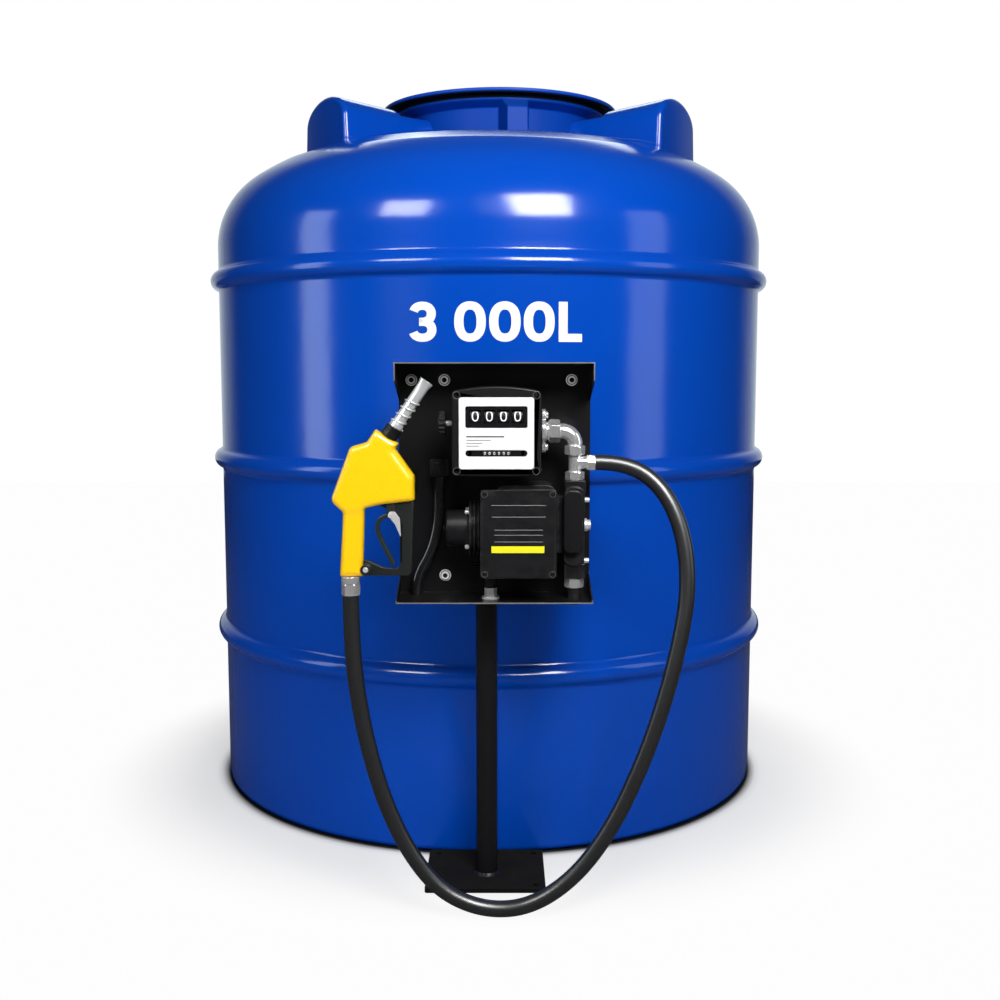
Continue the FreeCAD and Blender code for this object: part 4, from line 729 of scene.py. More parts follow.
class Roof:
    """The roof inside the shoulder's arc: the crown's arc, a band and a flat cone."""

    def __init__(self, facts):
        self.facts = facts
        turn = math.radians(SHOULDER_TURN)
        x = facts.wall_radius - facts.shoulder_radius + facts.shoulder_radius * math.cos(turn)
        z = facts.wall_top + facts.shoulder_radius * math.sin(turn)
        radius = (x - BAND_START) / (math.cos(turn) - math.sin(math.radians(CROWN_SLOPE)))
        centre = (x - radius * math.cos(turn), z - radius * math.sin(turn))
        self.line = arc_points(centre, radius, SHOULDER_TURN, 90 - CROWN_SLOPE, 12)
        for end, slope in ROOF_BANDS:
            start, low = self.line[-1]
            for reach in (start - ROOF_KINK, 0.5 * (start + end), end + ROOF_KINK, end):
                self.line.append((reach, low + (start - reach) * math.tan(math.radians(slope))))
        self.rising = np.array(self.line[::-1]).T

    def height(self, x, y):
        """Height of the roof over a point of the floor."""
        facts = self.facts
        reach = math.hypot(x, y)
        if reach > self.line[0][0]:
            from_shoulder = reach - facts.wall_radius + facts.shoulder_radius
            return facts.wall_top + math.sqrt(max(0.0, facts.shoulder_radius ** 2 - from_shoulder ** 2))
        return float(np.interp(reach, *self.rising))

    def normal(self, point):
        step = 0.001
        dx = self.height(point.x + step, point.y) - self.height(point.x - step, point.y)
        dy = self.height(point.x, point.y + step) - self.height(point.x, point.y - step)
        return Vector((-dx / (2 * step), -dy / (2 * step), 1.0)).normalized()


def shell_profile(facts):
    """The whole shell in section, from the floor's middle to the roof's."""
    foot = facts.foot_radius
    profile = [(0.0, 0.0)]
    profile += arc_points((facts.wall_radius - foot, foot), foot, -90, 0, 9)
    for height in RIB_HEIGHTS:
        profile += rib_profile(facts, height)
    profile.append((facts.wall_radius, 0.5 * (RIB_HEIGHTS[-1] + facts.wall_top) + 0.01))
    shoulder = (facts.wall_radius - facts.shoulder_radius, facts.wall_top)
    profile += arc_points(shoulder, facts.shoulder_radius, 0, SHOULDER_TURN, 22)
    return profile + Roof(facts).line[1:]


def cove(bm, roof, contour, size, closed):
    """A hollow strip along a line where something stands on the roof."""
    count = len(contour)
    columns = []
    for i, point in enumerate(contour):
        before = contour[i - 1] if closed or i else point
        after = contour[(i + 1) % count] if closed or i < count - 1 else point
        out = (after - before).normalized().cross(roof.normal(point)).normalized()
        foot = point + out * size
        foot.z = roof.height(foot.x, foot.y) + COVE_LIFT
        head = point + Vector((0, 0, size))
        column = []
        for k in range(COVE_STEPS + 1):
            t = k / COVE_STEPS
            column.append(bm.verts.new(foot * (1 - t) ** 2 + point * (2 * t * (1 - t)) + head * t ** 2))
        columns.append(column)
    for i in range(count if closed else count - 1):
        a = columns[i]
        b = columns[(i + 1) % count]
        for k in range(COVE_STEPS):
            bm.faces.new((a[k], b[k], b[k + 1], a[k + 1]))


def hump_size(facts, reach):
    """Half width, arch height and top of a hump at a distance from the manhole's centre."""
    share = (facts.hump_reach - reach) / (facts.hump_reach - HUMP_ROOT)
    return [a + (b - a) * share for a, b in zip(HUMP_OUT, HUMP_IN)]


def hump_side(facts, reach, inset, z):
    """Half width of a hump's drafted side at a height."""
    half, arch, top = hump_size(facts, reach)
    return half - inset + (top - arch - z) * math.tan(math.radians(HUMP_DRAFT))


def hump_ring(facts, reach, inset):
    """Points over a hump from its left foot to its right foot."""
    half, arch, top = hump_size(facts, reach)
    spring = top - arch
    side = []
    for k in range(SIDE_STEPS):
        z = HUMP_BASE + (spring - HUMP_BASE) * k / SIDE_STEPS
        side.append(Vector((-hump_side(facts, reach, inset, z), -reach, z)))
    over = []
    for k in range(ARCH_STEPS + 1):
        a = math.pi * k / ARCH_STEPS
        over.append(Vector((inset - half, 0, 0)) * math.cos(a) + Vector((0, -reach, spring))
                    + Vector((0, 0, arch - inset)) * math.sin(a))
    return side + over + [Vector((-p.x, p.y, p.z)) for p in reversed(side)]


def hump_stations(facts):
    """Distances along a hump, each with how far its rolled end is drawn in there."""
    edge = facts.hump_edge
    stations = [(reach, 0.0) for reach in np.linspace(HUMP_ROOT, facts.hump_reach - edge, LONG_STEPS)]
    for k in range(1, END_STEPS + 1):
        a = 0.5 * math.pi * k / END_STEPS
        stations.append((facts.hump_reach - edge + edge * math.sin(a), edge * (1 - math.cos(a))))
    return stations


def roof_place(facts, angle):
    """A placement turned about the manhole's centre line."""
    return Matrix.Translation((facts.top_x, 0, 0)) @ Matrix.Rotation(math.radians(angle), 4, "Z")


def add_hump(bm, facts, angle):
    """One moulded hump with a rolled end, closed below the roof."""
    place = roof_place(facts, angle)
    rings = []
    for reach, inset in hump_stations(facts):
        rings.append([bm.verts.new(place @ p) for p in hump_ring(facts, reach, inset)])
    skin(bm, rings, True)
    bm.faces.new(rings[0])
    bm.faces.new(rings[-1])


def add_hump_cove(bm, facts, roof, angle):
    """The hollow round a hump's foot."""
    place = roof_place(facts, angle)

    def height(x, y):
        spot = place @ Vector((x, y, 0))
        return roof.height(spot.x, spot.y)

    sides = []
    for sign in (-1, 1):
        feet = []
        for reach, inset in hump_stations(facts):
            z = HUMP_IN[2] - HUMP_IN[1]
            for _ in range(4):
                x = sign * hump_side(facts, reach, inset, z)
                z = height(x, -reach)
            feet.append(Vector((x, -reach, z)))
        sides.append(feet)
    left, right = sides
    across = []
    for k in range(1, 12):
        x = left[-1].x + (right[-1].x - left[-1].x) * k / 12
        across.append(Vector((x, -facts.hump_reach, height(x, -facts.hump_reach))))
    contour = [place @ p for p in left + across + right[::-1]]
    cove(bm, roof, contour[::-1], facts.cove, False)


def add_neck_cove(bm, facts, roof):
    """The hollow round the manhole neck's foot."""
    contour = []
    for i in range(120):
        a = -2 * math.pi * i / 120
        x = facts.top_x + facts.neck_radius * math.cos(a)
        y = facts.neck_radius * math.sin(a)
        contour.append(Vector((x, y, roof.height(x, y))))
    cove(bm, roof, contour, facts.neck_cove, True)


def add_lug_cove(bm, facts, roof, angle):
    """The hollow round the foot of a lug beside the neck."""
    place = roof_place(facts, angle)
    foot = []
    for a, b in zip(LUG_FOOT, LUG_FOOT[1:]):
        foot += [Vector((*a, 0)).lerp(Vector((*b, 0)), k / 6) for k in range(6)]
    foot.append(Vector((*LUG_FOOT[-1], 0)))
    contour = [place @ p for p in reversed(foot)]
    for p in contour:
        p.z = roof.height(p.x, p.y)
    cove(bm, roof, contour, LUG_COVE * facts.neck_cove, False)


def cut_away(obj, tool):
    """Cuts a closed piece out of another one for good."""
    cut = obj.modifiers.new("Cut", "BOOLEAN")
    cut.operation = "DIFFERENCE"
    cut.solver = "EXACT"
    cut.object = tool
    ready = obj.evaluated_get(bpy.context.evaluated_depsgraph_get())
    mesh = bpy.data.meshes.new_from_object(ready)
    obj.modifiers.clear()
    obj.data = mesh
    bpy.data.objects.remove(tool)


class TANK_OT_shell(Operator):
    """Builds the moulded wall with its ribs, shoulder and crown"""

    bl_idname = "tank_set.shell"
    bl_label = "Tank shell"

    def execute(self, context):
        facts = context.scene.tank_sizes
        bm = bmesh.new()
        lathe(bm, shell_profile(facts), facts.turn_steps)
        piece(bm, "tank_shell", "tank_plastic", 60.0, ("tank_wall", "tank_floor", "tank_roof"))
        return {"FINISHED"}


class TANK_OT_humps(Operator):
    """Builds the three humps moulded on the roof and the coves round what stands there"""

    bl_idname = "tank_set.humps"
    bl_label = "Roof humps"

    def execute(self, context):
        facts = context.scene.tank_sizes
        bm = bmesh.new()
        for angle in HUMP_ANGLES:
            add_hump(bm, facts, angle)
        humps = as_object(bm, "roof_humps", 50.0)
        bm = bmesh.new()
        notch = [(0.0, NOTCH_LEDGE), (NOTCH_RADIUS, NOTCH_LEDGE), (NOTCH_RADIUS, NOTCH_TOP), (0.0, NOTCH_TOP)]
        lathe(bm, notch, 180, Matrix.Translation((facts.top_x, 0, 0)))
        cut_away(humps, as_object(bm, "notch_tool"))
        humps.data.shade_smooth()
        humps.data.set_sharp_from_angle(angle=math.radians(ROLL_ANGLE))
        roll_edges(humps, 0.003, 3).harden_normals = True
        settle(humps, "tank_plastic", nodes=("tank_roof",))
        roof = Roof(facts)
        bm = bmesh.new()
        for angle in HUMP_ANGLES:
            add_hump_cove(bm, facts, roof, angle)
        add_neck_cove(bm, facts, roof)
        for angle in LUG_ANGLES:
            add_lug_cove(bm, facts, roof, angle)
        piece(bm, "roof_coves", "tank_plastic", 50.0)
        return {"FINISHED"}


class TANK_OT_manhole(Operator):
    """Builds the manhole neck, its black seal with a brim of painted shade under the lid, and its lid"""

    bl_idname = "tank_set.manhole"
    bl_label = "Manhole"

    def execute(self, context):
        rounded_copy("manhole_neck", 0.003, 3, "neck_plastic")
        rounded_copy("manhole_lid", 0.003, 3, "lid_plastic")
        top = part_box("manhole_neck")[1].z
        # The black seal's brim under the lid's overhang is painted shade
        bm = bmesh.new()
        lathe(bm, [(radius, top + height) for radius, height in SEAL_AND_SHADE_PROFILE], 160,
              Matrix.Translation((context.scene.tank_sizes.top_x, 0, 0)))
        bmesh.ops.remove_doubles(bm, verts=bm.verts[:], dist=1e-6)
        piece(bm, "manhole_seal_and_shade", "seal_and_shade_black")
        return {"FINISHED"}


# Lettering

# Each figure with where it starts along the wall and its width for a height of one
FIGURES = (("3", 0.0, 0.72), ("0", 0.1070, 0.79), ("0", 0.1865, 0.79), ("0", 0.2655, 0.79), ("L", 0.3470, 0.62))
FIGURES_START = -0.1795
FIGURES_Z = 1.2582
FIGURES_HIGH = 0.091
FIGURES_STROKE = (0.116, 0.102)
PAINT_LIFT = 0.0001
PAINT_DEPTH = 0.0005


def oval(centre, rx, ry, start, end, count, power=2.0):
    """Points of an oval; a power over 2 makes it squarer."""
    points = []
    for a in np.radians(np.linspace(start, end, count)):
        c, s = math.cos(a), math.sin(a)
        points.append((centre[0] + rx * math.copysign(abs(c) ** (2 / power), c),
                       centre[1] + ry * math.copysign(abs(s) ** (2 / power), s)))
    return points


def stroke(points, half_x, half_y, closed=False):
    """Pairs of points at both sides of a line, for a stroke that may be thinner one way."""
    pairs = []
    count = len(points)
    for i, (x, y) in enumerate(points):
        ax, ay = points[i - 1] if closed or i else points[i]
        bx, by = points[(i + 1) % count] if closed or i < count - 1 else points[i]
        tx, ty = bx - ax, by - ay
        size = math.hypot(tx, ty)
        nx, ny = -ty / size, tx / size
        pairs.append(((x + nx * half_x, y + ny * half_y), (x - nx * half_x, y - ny * half_y)))
    return pairs


def glyph(char, half_x, half_y, wide):
    """The strokes of a plain character one unit high, each a list of pairs and whether it closes."""
    tall = 0.5 - half_y
    side = 0.5 * wide - half_x
    if char == "0":
        return [(stroke(oval((0, 0), side, tall, 90, 450, 65, 2.35)[:-1], half_x, half_y, True), True)]
    if char == "3":
        top = oval((0, 0.5 * tall), side * 0.95, 0.5 * tall, 163, -90, 34, 2.2)
        low = oval((0, -0.5 * tall), side, 0.5 * tall, 90, -163, 34, 2.2)
        bar = 0.35 * side
        return [(stroke(top + [(-bar, 0.0)], half_x, half_y), False),
                (stroke([(-bar, 0.0)] + low, half_x, half_y), False)]
    if char == "L":
        x = -0.5 * wide + half_x
        upright = [(x, 0.5 - k / 8) for k in range(9)]
        foot = [(-0.5 * wide + 2 * half_x + k * (wide - 2 * half_x) / 4, -0.5 + half_y) for k in range(5)]
        return [(stroke(upright, half_x, half_y), False), (stroke(foot, half_x, half_y), False)]
    raise ValueError("no strokes for " + char)


def add_glyph(bm, char, half_x, half_y, wide, mapping, depth):
    """Lays a character on a surface as thin raised strips; mapping takes a spot and a height."""
    for pairs, closed in glyph(char, half_x, half_y, wide):
        rows = []
        for a, b in pairs:
            middle = (0.5 * (a[0] + b[0]), 0.5 * (a[1] + b[1]))
            rows.append([bm.verts.new(mapping(*spot, lift))
                         for spot, lift in ((a, 0.0), (a, depth), (middle, depth), (b, depth), (b, 0.0))])
        skin(bm, rows + rows[:1] if closed else rows, False)
        if not closed:
            bm.faces.new(rows[0][::-1])
            bm.faces.new(rows[-1])


class TANK_OT_lettering(Operator):
    """Paints the plain capacity figures on the wall"""

    bl_idname = "tank_set.lettering"
    bl_label = "Capacity figures"

    def execute(self, context):
        radius = context.scene.tank_sizes.wall_radius
        bm = bmesh.new()
        for char, x, wide in FIGURES:
            centre = FIGURES_START + x + 0.5 * wide * FIGURES_HIGH

            def on_wall(u, v, lift, centre=centre):
                a = (centre + u * FIGURES_HIGH) / radius
                out = radius + PAINT_LIFT + lift
                return Vector((out * math.sin(a), -out * math.cos(a), FIGURES_Z + v * FIGURES_HIGH))

            add_glyph(bm, char, *FIGURES_STROKE, wide, on_wall, PAINT_DEPTH)
        piece(bm, "capacity_figures", "lettering_ink")
        return {"FINISHED"}


# Pedestal and panel

BOLT_PLACES = ((-0.088, 0.702), (-0.088, 1.127), (0.186, 0.702), (0.186, 1.127), (-0.159, 1.127))
BOLT_HEAD = 0.006
FOLD_EDGE = 0.0005
SUNK = 0.0002


def ring(bm, x, z, y, inner, outer, proud):
    """A thin ring round a point, standing proud of an upright face at y; a disc where inner is 0."""
    place = Matrix.Translation((x, y + SUNK, z)) @ Matrix.Rotation(math.pi / 2, 4, "X")
    rise = proud + SUNK
    bevel = 0.3 * rise
    rim = [(outer - bevel, rise), (outer, rise - bevel), (outer, 0.0)]
    if inner:
        profile = [(inner, 0.0), (inner, rise - bevel), (inner + bevel, rise)] + rim + [(inner, 0.0)]
    else:
        profile = [(0.0, rise)] + rim + [(0.0, 0.0)]
    lathe(bm, profile, 40, place)
    bmesh.ops.remove_doubles(bm, verts=bm.verts[:], dist=1e-7)


class TANK_OT_pedestal(Operator):
    """Finishes the base plate and the post"""

    bl_idname = "tank_set.pedestal"
    bl_label = "Pedestal"

    def execute(self, context):
        rounded_copy("base_plate", 0.0012, finish="plate_paint")
        rounded_copy("post", 0.0010)
        return {"FINISHED"}


class TANK_OT_panel(Operator):
    """Finishes the folded panel, its lighter grey front edges, its bolts and the nozzle's holder"""

    bl_idname = "tank_set.panel"
    bl_label = "Panel"

    def execute(self, context):
        panel = rounded_copy("panel", 0.0007)
        panel.data.materials.append(material("sheet_edge"))
        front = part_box("panel")[0].y + FOLD_EDGE
        for face in panel.data.polygons:
            if face.center.y < front:
                face.material_index = 1
        rounded_copy("panel_bolts", 0.0006)
        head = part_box("panel_bolts")[0].y
        washer = head + BOLT_HEAD
        bright = bmesh.new()
        dark = bmesh.new()
        # Near-white rings on each bolt's head and washer are painted highlights; black discs and rings in its
        # socket and round its head are painted shade
        for x, z in BOLT_PLACES:
            ring(bright, x, z, washer, 0.0104, 0.0126, 0.0006)
            ring(dark, x, z, washer, 0.0090, 0.0104, 0.0003)
            ring(bright, x, z, head, 0.0052, 0.0084, 0.0004)
            ring(dark, x, z, head, 0.0, 0.0050, 0.0002)
        piece(bright, "bolt_painted_highlights", "painted_highlight_white")
        piece(dark, "bolt_painted_shade", "painted_shade_black")
        rounded_copy("nozzle_holder", 0.0008, finish="plate_paint")
        return {"FINISHED"}


# Meter

# The counter and the total below it: height, half width and half height of the dark bar, half width of a window
# and its reach down and up, how far the bar lies behind the face plate's front, and its thickness
COUNTER_Z = 1.053
COUNTER_BAR = (0.0628, 0.0218)
COUNTER_WINDOW = (0.0112, 0.0118, 0.0148)
COUNTER_SET = (0.0032, 0.0015)
TOTAL_Z = 0.9795
TOTAL_BAR = (0.0565, 0.0063)
TOTAL_WINDOW = (0.0043, 0.0042, 0.0042)
TOTAL_SET = (0.0030, 0.0012)
DRUM_PITCH = 0.0287
WHEEL_PITCH = 0.0096
FIRST_WHEEL = -0.0236
# How far a drum's front lies behind the face plate's, its radius, and its digit's height and relative width
DRUM_SET = 0.002
DRUM_RADIUS = 0.019
WHEEL_RADIUS = 0.0055
DRUM_DIGIT = (0.0220, 0.62)
WHEEL_DIGIT = (0.0058, 0.6)
DIGIT_STROKE = (0.055, 0.060)
DIGIT_RAISE = 0.002
# The ruled lines in place of the face's text: right end, height and thickness
RULE_LEFT = 0.0155
FACE_RULES = ((0.040, 1.0135, 0.0030), (0.0126, 1.0062, 0.0013), (-0.0046, 1.0000, 0.0012),
              (-0.0114, 0.9943, 0.0012))
RULE_LIFT = 0.0002
RULE_DEPTH = 0.0003
CASE_SCREW_X = 0.081
CASE_SCREW_Z = 0.077


def plate(bm, x0, x1, z0, z1, y, thick):
    """A thin upright plate whose front lies at y."""
    middle = Matrix.Translation(((x0 + x1) / 2, y + thick / 2, (z0 + z1) / 2))
    bmesh.ops.create_cube(bm, size=1.0, matrix=middle @ Matrix.Diagonal((x1 - x0, thick, z1 - z0, 1.0)))


def disc(bm, x, z, y, radius, thick):
    """A thin upright disc whose front lies at y."""
    place = Matrix.Translation((x, y, z)) @ Matrix.Rotation(-math.pi / 2, 4, "X")
    lathe(bm, [(0.0, 0.0), (radius, 0.0), (radius, thick), (0.0, thick)], 32, place)


def windowed_bar(bm, middle, places, z, bar, window, y, thick):
    """A bar with a window at each place, made of strips between them."""
    half, down, up = window
    left, right = middle - bar[0], middle + bar[0]
    plate(bm, left, right, z + up, z + bar[1], y, thick)
    plate(bm, left, right, z - bar[1], z - down, y, thick)
    for x in places:
        plate(bm, left, x - half, z - down, z + up, y, thick)
        left = x + half
    plate(bm, left, right, z - down, z + up, y, thick)


def add_digit(bm, x, z, hub, front, radius, size):
    """A plain nought on a drum whose axis lies at the height hub behind a face."""
    high, wide = size
    axis = front + DRUM_SET + radius

    def on_drum(u, v, lift):
        a = (z - hub + v * high) / radius
        out = radius + lift
        return Vector((x + u * high, axis - out * math.cos(a), hub + out * math.sin(a)))

    add_glyph(bm, "0", *DIGIT_STROKE, wide, on_drum, 0.0002)


class TANK_OT_meter(Operator):
    """Builds the meter's case, face, number drums and reset knob"""

    bl_idname = "tank_set.meter"
    bl_label = "Meter"

    def execute(self, context):
        for solid, radius, segments in (("meter_housing", 0.0012, 3), ("meter_chamber", 0.0010, 2),
                                        ("meter_face", 0.0008, 3), ("case_screws", 0.0005, 2),
                                        ("reset_knob", 0.0006, 2)):
            rounded_copy(solid, radius, segments)
        low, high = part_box("meter_face")
        middle = 0.5 * (low.x + high.x)
        drums = [middle + (i - 1.5) * DRUM_PITCH for i in range(4)]
        wheels = [middle + FIRST_WHEEL + i * WHEEL_PITCH for i in range(6)]
        bm = bmesh.new()
        y, thick = low.y + COUNTER_SET[0], COUNTER_SET[1]
        windowed_bar(bm, middle, drums, COUNTER_Z, COUNTER_BAR, COUNTER_WINDOW, y, thick)
        piece(bm, "counter_mask", "window_black")
        bm = bmesh.new()
        y, thick = low.y + TOTAL_SET[0], TOTAL_SET[1]
        windowed_bar(bm, middle, wheels, TOTAL_Z, TOTAL_BAR, TOTAL_WINDOW, y, thick)
        for side in (-1, 1):
            disc(bm, middle + side * TOTAL_BAR[0], TOTAL_Z, y, TOTAL_BAR[1], thick)
        piece(bm, "total_mask", "window_black")
        bm = bmesh.new()
        for x in drums:
            add_digit(bm, x, COUNTER_Z + DIGIT_RAISE, COUNTER_Z, low.y, DRUM_RADIUS, DRUM_DIGIT)
        for x in wheels:
            add_digit(bm, x, TOTAL_Z, TOTAL_Z, low.y, WHEEL_RADIUS, WHEEL_DIGIT)
        piece(bm, "counter_digits", "digit_white")
        bm = bmesh.new()
        for x1, z, thick in FACE_RULES:
            plate(bm, low.x + RULE_LEFT, x1, z - thick / 2, z + thick / 2, low.y - RULE_LIFT, RULE_DEPTH)
        piece(bm, "face_rules", "rule_grey")
        # Grey rings round the case's screws: painted highlight on the recess rims
        bm = bmesh.new()
        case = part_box("meter_housing")[0].y
        level = 0.5 * (low.z + high.z)
        for side in (-1, 1):
            for rise in (-CASE_SCREW_Z, CASE_SCREW_Z):
                ring(bm, middle + side * CASE_SCREW_X, level + rise, case, 0.0064, 0.0078, 0.0004)
        piece(bm, "case_painted_rim_highlights", "rim_highlight_grey")
        return {"FINISHED"}


# Pump

PUMP_SOLIDS = (("motor_cap", 0.0010), ("motor_fins", 0.0008), ("pump_body", 0.0015), ("terminal_cover", 0.0010),
               ("pump_manifold", 0.0015), ("manifold_cover", 0.0015), ("pump_studs", 0.0006),
               ("relief_knob", 0.0008))
STRIP_LEFT, STRIP_RIGHT = -0.056, 0.053
STRIP_LOW, STRIP_HIGH = 0.7735, 0.7875
STRIP_LIFT, STRIP_DEPTH = 0.0003, 0.0005
# The ruled lines in place of the cover's text: height and half width
COVER_RULES = ((0.872, 0.056), (0.848, 0.055), (0.821, 0.050), (0.8105, 0.050), (0.7965, 0.050))
COVER_RULE_HALF = 0.0006
COVER_SCREW = 0.009
FITTINGS = (("riser_unions", 0.0008), ("meter_union", 0.0008), ("hose_ferrule", 0.0008), ("foot_nut", 0.0008),
            ("meter_flange", 0.0010), ("tee", 0.0010), ("elbow", 0.0010))


class TANK_OT_pump(Operator):
    """Finishes the motor, the pump and its terminal cover"""

    bl_idname = "tank_set.pump"
    bl_label = "Pump"

    def execute(self, context):
        for solid, radius in PUMP_SOLIDS:
            rounded_copy(solid, radius)
        low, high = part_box("terminal_cover")
        middle = 0.5 * (low.x + high.x)
        bm = bmesh.new()
        plate(bm, middle + STRIP_LEFT, middle + STRIP_RIGHT, STRIP_LOW, STRIP_HIGH, low.y - STRIP_LIFT,
              STRIP_DEPTH)
        piece(bm, "cover_strip", "strip_yellow")
        bm = bmesh.new()
        for z, half in COVER_RULES:
            plate(bm, middle - half, middle + half, z - COVER_RULE_HALF, z + COVER_RULE_HALF, low.y - RULE_LIFT,
                  RULE_DEPTH)
        piece(bm, "cover_rules", "rule_dark")
        # Grey rings round the cover's screws: painted highlight on the recess rims
        bm = bmesh.new()
        for x in (low.x + COVER_SCREW, high.x - COVER_SCREW):
            for z in (low.z + COVER_SCREW, high.z - COVER_SCREW):
                ring(bm, x, z, low.y, 0.0056, 0.0068, 0.0003)
        piece(bm, "cover_painted_rim_highlights", "rim_highlight_grey")
        return {"FINISHED"}


class TANK_OT_pipework(Operator):
    """Finishes the unions, the tee, the elbow and the other plated fittings"""

    bl_idname = "tank_set.pipework"
    bl_label = "Pipework"

    def execute(self, context):
        for solid, radius in FITTINGS:
            rounded_copy(solid, radius, 3)
        rounded_copy("inlet_pipe", 0.0008)
        return {"FINISHED"}


# Nozzle

# Each corner of the cover from the side, with its rounding
COVER_CORNERS = (
    (-0.220, 1.029, 0.002), (-0.174, 1.000, 0.002), (-0.1795, 0.988, 0.005), (-0.142, 0.935, 0.008),
    (-0.142, 0.884, 0.004), (-0.210, 0.876, 0.060), (-0.244, 0.868, 0.008), (-0.249, 0.728, 0.003),
    (-0.296, 0.728, 0.003), (-0.288, 0.860, 0.010), (-0.313, 0.884, 0.016), (-0.272, 0.993, 0.014),
    (-0.238, 1.003, 0.010),
)
OUTLINE_GAP = 0.0016
COVER_SPACING = 0.004
EDGE_SHARES = (0.04, 0.14, 0.30, 0.52, 0.78, 1.0)
# The line from which the cover's right shoulder falls away, and where the fall ends
RIDGE_TOP = Vector((-0.196, 0.984))
RIDGE_LOW = Vector((-0.152, 0.926))
RIDGE_FALL = 0.32
FALL_TOP = 0.996
FALL_LEFT = -0.200
FALL_FADE = 0.010
GRIP_TOP = 0.862
GRIP_FADE = 0.010


def rounded_outline(corners, gap):
    """A closed outline with rounded corners, its points at most a gap apart."""
    points = []
    count = len(corners)
    for i, (x, z, radius) in enumerate(corners):
        here = Vector((x, z))
        before = Vector(corners[i - 1][:2])
        after = Vector(corners[(i + 1) % count][:2])
        a = (before - here).normalized()
        b = (after - here).normalized()
        half = 0.5 * a.angle(b)
        reach = radius / math.tan(half)
        middle = here + (a + b).normalized() * (radius / math.sin(half))
        start = here + a * reach - middle
        sweep = start.angle_signed(here + b * reach - middle)
        steps = max(2, int(abs(sweep) * radius / gap) + 1)
        for k in range(steps + 1):
            points.append(middle + Matrix.Rotation(-sweep * k / steps, 2) @ start)
    dense = []
    for i, point in enumerate(points):
        after = points[(i + 1) % len(points)]
        pieces = max(1, int((after - point).length / gap))
        for k in range(pieces):
            dense.append(point.lerp(after, k / pieces))
    kept = [p for i, p in enumerate(dense) if (p - dense[i - 1]).length > 0.2 * gap]
    return np.array([(p.x, p.y) for p in kept])


def distance_inside(spots, outline):
    """How far each spot lies inside the outline; negative outside."""
    ends = np.roll(outline, -1, axis=0)
    best = np.full(len(spots), 1e9)
    inside = np.zeros(len(spots), bool)
    for p, q in zip(outline, ends):
        d = q - p
        t = np.clip(((spots - p) @ d) / (d @ d), 0, 1)
        best = np.minimum(best, np.hypot(*(spots - p - t[:, None] * d).T))
        crosses = (p[1] > spots[:, 1]) != (q[1] > spots[:, 1])
        with np.errstate(divide="ignore", invalid="ignore"):
            x = p[0] + (spots[:, 1] - p[1]) / (q[1] - p[1]) * (q[0] - p[0])
        inside ^= crosses & (spots[:, 0] < x)
    return np.where(inside, best, -best)


def cushion_spots(outline, edge, spacing):
    """Spots inside an outline: rings that follow it over the rolled edge, and a grid within."""
    rings = [outline]
    tangent = np.roll(outline, -1, axis=0) - np.roll(outline, 1, axis=0)
    normal = np.stack([-tangent[:, 1], tangent[:, 0]], axis=1)
    normal /= np.linalg.norm(normal, axis=1)[:, None]
    if distance_inside(outline[:1] + normal[:1] * 0.0005, outline)[0] < 0:
        normal = -normal
    for share in EDGE_SHARES:
        depth = share * edge
        ring_spots = (outline + normal * depth)[::1 if share < 0.5 else 2]
        rings.append(ring_spots[distance_inside(ring_spots, outline) > 0.985 * depth])
    low = outline.min(axis=0)
    high = outline.max(axis=0)
    grid = np.stack(np.meshgrid(np.arange(low[0], high[0], spacing), np.arange(low[1], high[1], spacing)),
                    axis=-1).reshape(-1, 2)
    rings.append(grid[distance_inside(grid, outline) > edge + 0.5 * spacing])
    return np.concatenate(rings)


def cushion_mesh(outline, plane, half_at, edge, spacing):
    """A plate of varying thickness with rolled edges, symmetric about its middle plane."""
    count = len(outline)
    edges = [(i, (i + 1) % count) for i in range(count)]
    spots = [Vector(p) for p in cushion_spots(outline, edge, spacing)]
    verts, _, faces = geometry.delaunay_2d_cdt(spots, edges, [], 1, 1e-6)[:3]
    flat = np.array([tuple(v) for v in verts])
    into = np.minimum(np.maximum(distance_inside(flat, outline), 0.0), edge)
    lift = half_at(flat[:, 0], flat[:, 1]) - edge + np.sqrt(np.maximum(edge ** 2 - (edge - into) ** 2, 0.0))
    bm = bmesh.new()
    near, far = [[bm.verts.new((x, plane + sign * h, z)) for (x, z), h in zip(flat, lift)] for sign in (-1, 1)]
    rim = {}
    for face in faces:
        bm.faces.new([near[i] for i in face])
        bm.faces.new([far[i] for i in reversed(face)])
        for v, w in zip(face, face[1:] + face[:1]):
            key = (min(v, w), max(v, w))
            rim[key] = rim.get(key, 0) + 1
    for (v, w), uses in rim.items():
        if uses == 1:
            bm.faces.new((near[v], near[w], far[w], far[v]))
    return bm


